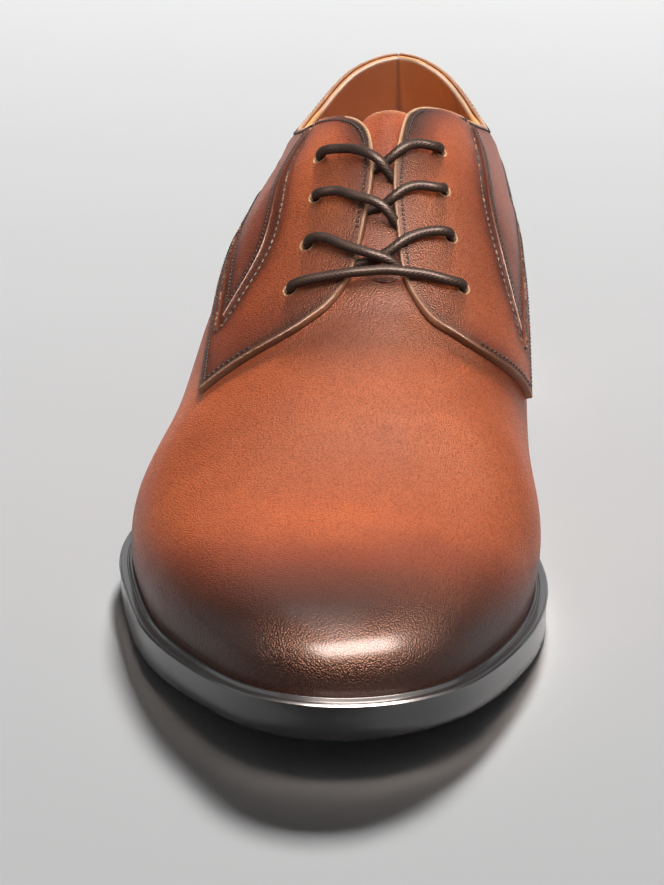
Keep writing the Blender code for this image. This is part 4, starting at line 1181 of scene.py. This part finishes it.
class SHOE_OT_inner(bpy.types.Operator):
    """Make the tongue and the insole sock"""
    bl_idname = "shoe.inner"
    bl_label = "Tongue and insole"

    def execute(self, context):
        inner = tongue_grid()
        normal = grid_normals(inner)
        if normal[20, 24, 2] < 0:
            normal = -normal
        away = far_from(inner, border_of(inner))
        round_edge = 0.35 * MM + 0.45 * MM * smooth(0.05, 0.3, np.linspace(0, 1, len(inner)))[:, None]
        outer = inner + normal * (UPPER_WALL - rounding(away, round_edge))[..., None]
        points, faces = slab(outer, inner, True)
        rows, columns = inner.shape[:2]
        share = np.linspace(0, 1, rows)[:, None] * np.ones((1, columns))
        # Painted shade: the tongue is darker where it lies under the laces between the facings, most at its
        # front end under the bar lace
        burnish = 0.16 + 0.08 * np.exp(-share / 0.12) + 0.22 * (1 - smooth(0.45, 0.8, share))
        rim = 0.55 * smooth(0.93, 1.0, share)
        write_piece("tongue_leather", points, faces, leather_of(context.scene), ("tongue",),
                    leather_marks(2 * rim.size, np.stack([burnish, burnish]), np.stack([rim, rim]),
                                  np.stack([0 * rim, 0 * rim + 1])),
                    merge=WELD, recalculate=True)
        stations = np.concatenate([np.linspace(0, 0.6, 12), np.linspace(0.7, 11.3, 90),
                                   np.linspace(11.4, STATIONS, 14)])
        left, right = (edge_line(each, 0 * stations - INSOLE_MARGIN) for each in (-stations, stations))
        share = np.linspace(0, 1, 33)[None, :, None]
        plan = left[:, None] * (1 - share) + right[:, None] * share
        s = HEEL_CENTRE - plan[..., 1]
        cup = 1.6 * MM * np.abs(2 * share[..., 0] - 1) ** 3 - 0.5 * MM
        floor = seat_height(s) - WELT_THICKNESS
        top = np.concatenate([plan, (floor + INSOLE_THICKNESS + cup * smooth(0, 40 * MM, s))[..., None]], -1)
        under = np.concatenate([plan, floor[..., None]], -1)
        points, faces = slab(top, under, False)
        write_piece("insole_sock", points, faces, lining_of(context.scene), ("insole",),
                    {"shade": np.full(len(points), -0.35)}, merge=WELD, recalculate=True)
        return {"FINISHED"}


# Sole unit

def rounded(points, steps=4):
    """A profile with each corner (out, height, radius) turned into an arc of a few points."""
    made = []
    for k, (x, z, radius) in enumerate(points):
        if radius == 0 or k in (0, len(points) - 1):
            made.append((x, z))
            continue
        here, before, after = np.array((x, z)), np.array(points[k - 1][:2]), np.array(points[k + 1][:2])
        a, b = unit(before - here), unit(after - here)
        for u in np.linspace(0, 1, steps):
            made.append(tuple(here + radius * ((1 - u) ** 2 * a + u ** 2 * b)))
    return np.array(made)


class SHOE_OT_sole(bpy.types.Operator):
    """Make the sole unit, the heel block and its top piece"""
    bl_idname = "shoe.sole"
    bl_label = "Sole and heel"

    def execute(self, context):
        s = context.scene.shoe_sole
        rubber = rubber_finish("black_satin_rubber", tuple(s.rubber), 0.34, 0.31416 / s.rib_pitch)
        stations = np.concatenate([np.linspace(0, 1, 50) ** 1.1 * 1.2, np.linspace(1.25, 11.0, 150),
                                   11.0 + np.linspace(0, 1, 34)[1:]])
        t = np.concatenate([-stations[::-1], stations[1:-1]])
        width = (ledge(np.abs(t)) - UPPER_WALL)[:, None]
        bead = s.bead / MM
        # The bed inside the upper, the bead, the groove and the ledge
        top = rounded(((-0.75, -WELT_THICKNESS / MM, 0), (-0.75, 0.0, 0.1), (-0.05, 0.05, 0.1),
                       (0.04, bead, 0.10), (0.26, bead, 0.10),
                       (0.32, -0.30, 0.05), (0.40, -0.30, 0.05),
                       (0.44, 0.0, 0.03), (0.88, 0.0, 0.08), (1.0, -0.55, 0.12)))
        out = UPPER_WALL + top[None, :, 0] * width
        out[:, 0] = out[:, 1] = UPPER_WALL - 2.6 * MM
        line = edge_line(t[:, None] + 0 * out, out)
        z = seat_height(HEEL_CENTRE - line[..., 1]) + top[None, :, 1] * MM
        upper_part = np.concatenate([line, z[..., None]], -1)
        full = ledge(np.abs(t))
        below = []
        for shrink, share, lift in ((0.10, 0.0, -1.0), (0.22, 0.35, 0), (0.30, 0.70, 0), (0.32, None, 1.0),
                                    (0.55, None, 0.45), (0.95, None, 0.12), (1.5, None, 0.0)):
            ring = edge_line(t, full - shrink * MM)
            along = HEEL_CENTRE - ring[:, 1]
            high, low = seat_height(along) - 0.9 * MM, tread_height(along)
            if share is None:
                level = low + SOLE_ROUND * lift
            else:
                level = high * (1 - share) + (low + SOLE_ROUND) * share
            if share == 0.0:
                level = seat_height(along) - 1.1 * MM
            below.append(np.concatenate([ring, level[:, None]], -1))
        body = np.concatenate([upper_part, np.stack(below, 1)], 1)
        n, m = body.shape[:2]
        faces = [quads(n, m, True, False)]
        points = [body.reshape(-1, 3)]
        marks = [np.zeros(n * m)]
        # The underside and the insole's bed run straight from side to side between the rings
        for column, flip, height in ((m - 1, True, None), (0, False, "bed")):
            left, right = body[:len(stations), column][::-1], np.concatenate(
                [body[len(stations) - 1:, column], body[:1, column]])
            share = np.linspace(0, 1, 25)[None, :, None]
            sheet = left[:, None] * (1 - share) + right[:, None] * share
            inner = sheet[:, 1:-1]
            along = HEEL_CENTRE - inner[..., 1]
            sheet[:, 1:-1, 2] = tread_height(along) if height is None else seat_height(along) - WELT_THICKNESS
            base = sum(len(p) for p in points)
            points.append(sheet.reshape(-1, 3))
            faces.append(quads(*sheet.shape[:2], flip=flip) + base)
            y = sheet[..., 1]
            grip = smooth(-90 * MM, -110 * MM, y) * smooth(-250 * MM, -238 * MM, y)
            grip = grip * (np.abs(2 * share[..., 0] - 1) < 0.8)
            marks.append((grip if height is None else 0 * grip).ravel())
        write_piece("sole_unit", np.concatenate(points), np.concatenate(faces), rubber,
                    ("welt", "outsole"), {"tread": np.concatenate(marks)}, merge=0.003 * MM, recalculate=True,
                    sharp=50)
        heel_rubber = rubber_finish("black_heel_block", (0.012, 0.011, 0.012), 0.32)
        gap = 0.15 * MM
        self.heel("heel_block", TOP_PIECE + gap, None, 0.3, 1.0, heel_rubber, "black_heel", "heel", 0.18 * MM)
        self.heel("heel_top_piece", 0.0, TOP_PIECE - gap, 0.0, 0.3, rubber, "black_rubber", "top_piece",
                  0.30 * MM)
        return {"FINISHED"}

    def heel(self, name, bottom, top, low_share, high_share, finish, slot, node, round_edge):
        """A block with the heel's plan: rings from its underside to its top, tapering in toward the floor."""
        around_back = np.concatenate([np.linspace(9.0, 11, 60), 11 + np.linspace(0, 1, 30)[1:]])
        t = np.concatenate([around_back, -around_back[::-1][1:]])
        rings = []
        levels = np.concatenate([[0, 0.03, 0.07], np.linspace(0.12, 0.93, 14), [0.97, 1.0]])
        for share in levels:
            inset = rounding(min(share, 1 - share) / 0.07 * round_edge, round_edge)
            height_share = low_share + (high_share - low_share) * share
            out = ledge(np.abs(t)) - 0.6 * MM - HEEL_TAPER * (1 - height_share) - inset
            line = edge_line(t, out)
            tip = line[[-1, 0]]
            breast = tip[0] + (tip[1] - tip[0]) * np.linspace(0, 1, 24)[1:-1, None]
            breast[:, 1] += 2.2 * MM * np.sin(np.linspace(0, np.pi, 24)[1:-1]) + inset
            plan = np.concatenate([line, breast])
            ceiling = tread_height(HEEL_CENTRE - plan[:, 1]) - 0.05 * MM if top is None else top
            z = bottom + (ceiling - bottom) * share
            rings.append(np.column_stack([plan, np.broadcast_to(z, len(plan))]))
        body = np.stack(rings, 1)
        n, m = body.shape[:2]
        faces = [tuple(f) for f in quads(n, m, True, False).tolist()]
        faces.append(tuple(range(0, n * m, m)))
        faces.append(tuple(range(m - 1, n * m, m))[::-1])
        write_piece(name, body, faces, finish, (node,), {"tread": np.zeros(n * m)}, recalculate=True,
                    sharp=40)


# Lace and stitches

def tube(path, normals, radius, turns=22):
    """Rings of points round a path, and the braid's weave on each: two families of bands that cross."""
    run = run_of(path)
    steps = max(int(run[-1] / (0.22 * MM)), 8)
    at = np.linspace(0, run[-1], steps)
    line = natural_spline(run, path, at)
    up = np.stack([np.interp(at, run, normals[:, k]) for k in range(3)], -1)
    tangent = unit(np.gradient(line, axis=0))
    across = unit(np.cross(tangent, up))
    up = np.cross(across, tangent)
    angle = np.linspace(0, 2 * np.pi, turns, endpoint=False)
    pitch = 2 * np.pi * at[:, None] / (2.6 * MM)
    weave = np.sqrt(np.abs(np.sin(4 * angle[None] + pitch) * np.sin(4 * angle[None] - pitch)))
    end = np.minimum(at, at[-1] - at)[:, None]
    cap = np.sqrt(np.clip(1 - (1 - np.clip(end / radius, 0, 1)) ** 2, 0, 1))
    size = radius * (0.95 + 0.07 * weave) * np.maximum(cap, 0.02)
    points = (line[:, None] + across[:, None] * (np.cos(angle)[None] * size)[..., None]
              + up[:, None] * (np.sin(angle)[None] * size * LACE_FLATNESS)[..., None])
    return points, weave


def eased_route(name):
    """A lace route's points and outward directions. Each visible end goes down into its eyelet's bore, and
    the end of a crossing goes on under the far facing."""
    places = np.array(LACE_ROUTES[name]) * MM
    ends = ROUTE_EYELETS[name]
    path, out = places, np.tile([0.0, -0.35, 0.94], (len(places), 1))
    for number, (row, side) in enumerate(ends):
        station, up = eyelet(row, side)
        normal = outward(np.array([side * station]), np.array([up]))[0]
        base = skin(side * station, up, 0)
        stem = np.array([base + normal * lift for lift in (0.6 * MM, 2.4 * MM, QUARTER_LIFT + 0.3 * MM)])
        shape = np.tile(normal, (3, 1))
        path = np.concatenate([stem, path]) if number == 0 else np.concatenate([path, stem[::-1]])
        out = np.concatenate([shape, out]) if number == 0 else np.concatenate([out, shape])
    if len(ends) == 1:
        ahead = unit(path[-1] - path[-3]) * 2.2 * MM
        path = np.concatenate([path, [path[-1] + ahead]])
        out = np.concatenate([out, out[-1:]])
    return path, out


class SHOE_OT_lace(bpy.types.Operator):
    """Run the waxed lace through the eyelets"""
    bl_idname = "shoe.lace"
    bl_label = "Lace"

    def execute(self, context):
        s = context.scene.shoe_lace
        # The second colour is the lace's painted glint
        finish = lace_finish("waxed_braided_lace", tuple(s.lace), (0.075, 0.042, 0.032))
        for name in LACE_ROUTES:
            path, normals = eased_route(name)
            node = "lace_bar" if name == "lace_bottom_bar" else f"lace_cross_{name[-1]}"
            points, weave = tube(path, normals, s.diameter / 2)
            n, m = points.shape[:2]
            faces = [tuple(f) for f in quads(n, m, False, True).tolist()]
            faces += [tuple(range(m)), tuple(range((n - 1) * m, n * m))[::-1]]
            write_piece(name, points, faces, finish, (node,), {"weave": weave}, recalculate=True)
        return {"FINISHED"}


def stitch_row(path, normals, pitch, length, width, height, slant=0.0):
    """Capsules of thread laid end to end along a path: each is a rounded tube of 6 sides and 5 rings,
    lying on the leather with both ends sunk in."""
    run = run_of(path)
    count = max(int(run[-1] / pitch), 1)
    at = (np.arange(count) + 0.5) * run[-1] / count
    place = np.stack([np.interp(at, run, path[:, k]) for k in range(3)], -1)
    out = unit(np.stack([np.interp(at, run, normals[:, k]) for k in range(3)], -1))
    tangent = np.gradient(path, axis=0)
    tangent = np.stack([np.interp(at, run, tangent[:, k]) for k in range(3)], -1)
    tangent = unit(tangent - out * (tangent * out).sum(1)[:, None])
    across = np.cross(out, tangent)
    tangent, across = (tangent * math.cos(slant) + across * math.sin(slant),
                       across * math.cos(slant) - tangent * math.sin(slant))
    rings = np.linspace(-1, 1, 6)
    angle = np.linspace(0, 2 * np.pi, 6, endpoint=False)
    size = np.sqrt(np.clip(1 - 0.97 * rings ** 4, 0, 1))
    a = (rings * length / 2)[:, None] + 0 * angle[None]
    b = size[:, None] * np.cos(angle)[None] * width / 2
    c = size[:, None] * np.sin(angle)[None] * height + (height * 0.15 - height * 1.1 * rings ** 4)[:, None]
    points = (place[:, None, None] + tangent[:, None, None] * a[None, ..., None]
              + across[:, None, None] * b[None, ..., None] + out[:, None, None] * c[None, ..., None])
    single = [tuple(f) for f in quads(6, 6, False, True).tolist()]
    single += [tuple(range(6))[::-1], tuple(range(30, 36))]
    return points.reshape(-1, 3), single, count


def merge_rows(rows):
    """Joins several stitch rows into one list of points and faces."""
    points, faces, base = [], [], 0
    for row_points, single, count in rows:
        points.append(row_points)
        for k in range(count):
            faces += [tuple(v + base + 36 * k for v in face) for face in single]
        base += len(row_points)
    return np.concatenate(points), faces


def inset(places, side, distance, from_outer, lift):
    """The path on a panel that runs distance inside its first or last column, and its outward directions."""
    grid = places[:, ::-1] if from_outer else places
    solid = skin(side * grid[..., 0], grid[..., 1], QUARTER_LIFT)
    step = np.linalg.norm(np.diff(solid, axis=1), axis=-1)
    run = np.concatenate([np.zeros((len(solid), 1)), np.cumsum(step, 1)], 1)
    path = np.array([[np.interp(distance, r, g[:, k]) for k in (0, 1)] for r, g in zip(run, grid)])
    ok = run[:, -1] > 2.2 * distance
    path = path[ok]
    thin = collar_thin(path, side)
    t, h = side * path[:, 0], path[:, 1]
    return skin(t, h, QUARTER_LIFT - thin + lift), outward(t, h)


def clear_of(path, out, outline, distance):
    """The part of a path that stays a distance inside an outline."""
    kept = far_from(path, outline) >= distance
    return path[kept], out[kept]


class SHOE_OT_stitches(bpy.types.Operator):
    """Sew the panels, the collar and the tips"""
    bl_idname = "shoe.stitches"
    bl_label = "Stitches"

    def execute(self, context):
        pitch = context.scene.shoe_lace.stitch
        # The second colour of each thread is its painted glint
        strong = thread_finish("strip_thread", (0.050, 0.020, 0.012), (0.62, 0.34, 0.20))
        fine = thread_finish("edge_thread", (0.012, 0.005, 0.004), (0.040, 0.015, 0.010))
        for side, word in ((-1, "lateral"), (1, "medial")):
            base, facing, wedge, _ = quarter_panels(side)
            path, out = inset(facing, side, 0.95 * MM, False, 0.05 * MM)
            bold = [stitch_row(path, out, 2.1 * MM, 1.9 * MM, 0.62 * MM, 0.30 * MM, 0.10 * side)]
            thin_rows = []
            outline = border_of(skin(side * base[..., 0], base[..., 1], QUARTER_LIFT))
            outline = outline[outline[:, 1] < HEEL_CENTRE + 4.5 * MM]
            for grid, from_outer in ((base, True), (base, False), (np.swapaxes(base, 0, 1), False)):
                path, out = inset(grid, side, 2.1 * MM, from_outer, 0.02 * MM)
                path, out = clear_of(path, out, outline, 1.7 * MM)
                thin_rows.append(stitch_row(path, out, pitch, pitch * 0.78, 0.64 * MM, 0.36 * MM))
            for from_outer in (True, False):
                path, out = inset(wedge, side, 1.3 * MM, from_outer, 0.02 * MM)
                path, out = clear_of(path, out, outline, 2.6 * MM)
                thin_rows.append(stitch_row(path, out, pitch * 0.9, pitch * 0.5, 0.56 * MM, 0.34 * MM))
            points, faces = merge_rows(bold)
            write_piece(f"strip_stitches_{word}", points, faces, strong, ())
            points, faces = merge_rows(thin_rows)
            write_piece(f"edge_stitches_{word}", points, faces, fine, ())
        return {"FINISHED"}


# Stage

def look_at(place, target):
    """The rotation that points a light at a target."""
    return (Vector(target) - Vector(place)).to_track_quat("-Z", "Y")


def area_light(name, place, target, size, power, diffuse=True, glossy=True, colour=(1, 1, 1)):
    """A soft box that points at a target. One that makes only diffuse light leaves no reflection."""
    data = bpy.data.lights.new(name, "AREA")
    data.shape, data.size, data.size_y = "RECTANGLE", size[0], size[1]
    data.energy, data.color = power, colour
    made = bpy.data.objects.new(name, data)
    made.location = place
    made.rotation_mode = "QUATERNION"
    made.rotation_quaternion = look_at(place, target)
    made.visible_diffuse, made.visible_glossy = diffuse, glossy
    bpy.context.scene.collection.objects.link(made)
    return made


class SHOE_OT_stage(bpy.types.Operator):
    """Set the floor, the lights and the camera"""
    bl_idname = "shoe.stage"
    bl_label = "Stage"

    def execute(self, context):
        scene = context.scene
        s = scene.shoe_stage
        floor = Recipe("pale_floor", roughness=0.9, Specular_IOR_Level=0.0)
        tone = floor.mix(floor.noise(6, 2), tuple(0.985 * c for c in s.floor), tuple(s.floor))
        floor.finish(tone)
        reach = 6.0
        mesh = bpy.data.meshes.new("floor")
        mesh.from_pydata([(-reach, -reach, 0), (reach, -reach, 0), (reach, reach, 0), (-reach, reach, 0)], [],
                         [(0, 1, 2, 3)])
        mesh.materials.append(floor.material)
        made = bpy.data.objects.new("floor", mesh)
        scene.collection.objects.link(made)
        world = bpy.data.worlds.new("studio")
        scene.world = world
        world.use_nodes = True
        world.node_tree.nodes["Background"].inputs["Color"].default_value = (1, 1, 1, 1)
        world.node_tree.nodes["Background"].inputs["Strength"].default_value = s.sky
        scene.view_settings.view_transform = "Standard"
        middle = (0.0, -0.12, 0.04)
        area_light("key_behind", (0.12, 2.38, 2.30), middle, (0.62, 0.54), s.key, glossy=False)
        area_light("vamp_box", (-0.10, 0.24, 1.12), (0, -0.14, 0.06), (0.46, 0.95), s.sheen, diffuse=False)
        surround = {"left_box": (-1.2, -0.35, 0.55), "right_box": (1.2, -0.35, 0.55),
                    "back_box": (0, 1.5, 0.70)}
        for name, place in surround.items():
            area_light(name, place, middle, (1.5, 0.9), s.surround, diffuse=False)
        top = area_light("top_box", (0.02, -0.16, 1.10), middle, (0.42, 0.70), s.top)
        # The top box lights the shoe alone, so that the shadow in front of the toe stays dark
        unlit = bpy.data.collections.new("not_lit_by_top_box")
        unlit.objects.link(made)
        unlit.collection_objects[0].light_linking.link_state = "EXCLUDE"
        top.light_linking.receiver_collection = unlit
        area_light("front_box", (0.40, -0.90, 1.42), (0.01, -0.2, 0.03), (1.90, 0.90), s.front, diffuse=False,
                   colour=(1.0, 0.86, 0.78))
        azimuth, elevation = math.radians(CAMERA_AZIMUTH), math.radians(CAMERA_ELEVATION)
        target = Vector(CAMERA_TARGET)
        back = Vector((math.sin(azimuth) * math.cos(elevation), -math.cos(azimuth) * math.cos(elevation),
                       math.sin(elevation)))
        camera = bpy.data.cameras.new("photo_view")
        camera.sensor_fit = "VERTICAL"
        camera.sensor_height = 36
        camera.lens = CAMERA_FOCUS / PHOTO_HEIGHT * camera.sensor_height
        camera.clip_start = 0.01
        held = bpy.data.objects.new("photo_view", camera)
        held.location = target + back * CAMERA_DISTANCE
        held.rotation_mode = "QUATERNION"
        held.rotation_quaternion = (-back).to_track_quat("-Z", "Y")
        scene.collection.objects.link(held)
        scene.camera = held
        return {"FINISHED"}


class SHOE_PT_panel(bpy.types.Panel):
    """Lists the shoe's pieces and their settings"""
    bl_label = "Shoe"
    bl_idname = "SHOE_PT_panel"
    bl_space_type = "VIEW_3D"
    bl_region_type = "UI"
    bl_category = "Shoe"

    def draw(self, context):
        for group in SETTINGS:
            box = self.layout.box()
            held = getattr(context.scene, group)
            for name in held.__annotations__:
                box.prop(held, name)
        for operator in OPERATORS:
            self.layout.operator(operator.bl_idname)


OPERATORS = (
    SHOE_OT_stage, SHOE_OT_upper, SHOE_OT_quarters, SHOE_OT_inner, SHOE_OT_sole, SHOE_OT_lace, SHOE_OT_stitches,
)
SETTINGS = {
    "shoe_leather": ShoeLeatherSettings,
    "shoe_sole": ShoeSoleSettings,
    "shoe_lace": ShoeLaceSettings,
    "shoe_stage": ShoeStageSettings,
}


def register():
    for group in (*SETTINGS.values(), *OPERATORS, SHOE_PT_panel):
        bpy.utils.register_class(group)
    for name, group in SETTINGS.items():
        setattr(bpy.types.Scene, name, bpy.props.PointerProperty(type=group))


def unregister():
    for name in SETTINGS:
        delattr(bpy.types.Scene, name)
    for group in reversed((*SETTINGS.values(), *OPERATORS, SHOE_PT_panel)):
        bpy.utils.unregister_class(group)


def main():
    register()
    for operator in OPERATORS:
        family, name = operator.bl_idname.split(".")
        getattr(getattr(bpy.ops, family), name)()


if __name__ == "__main__":
    main()
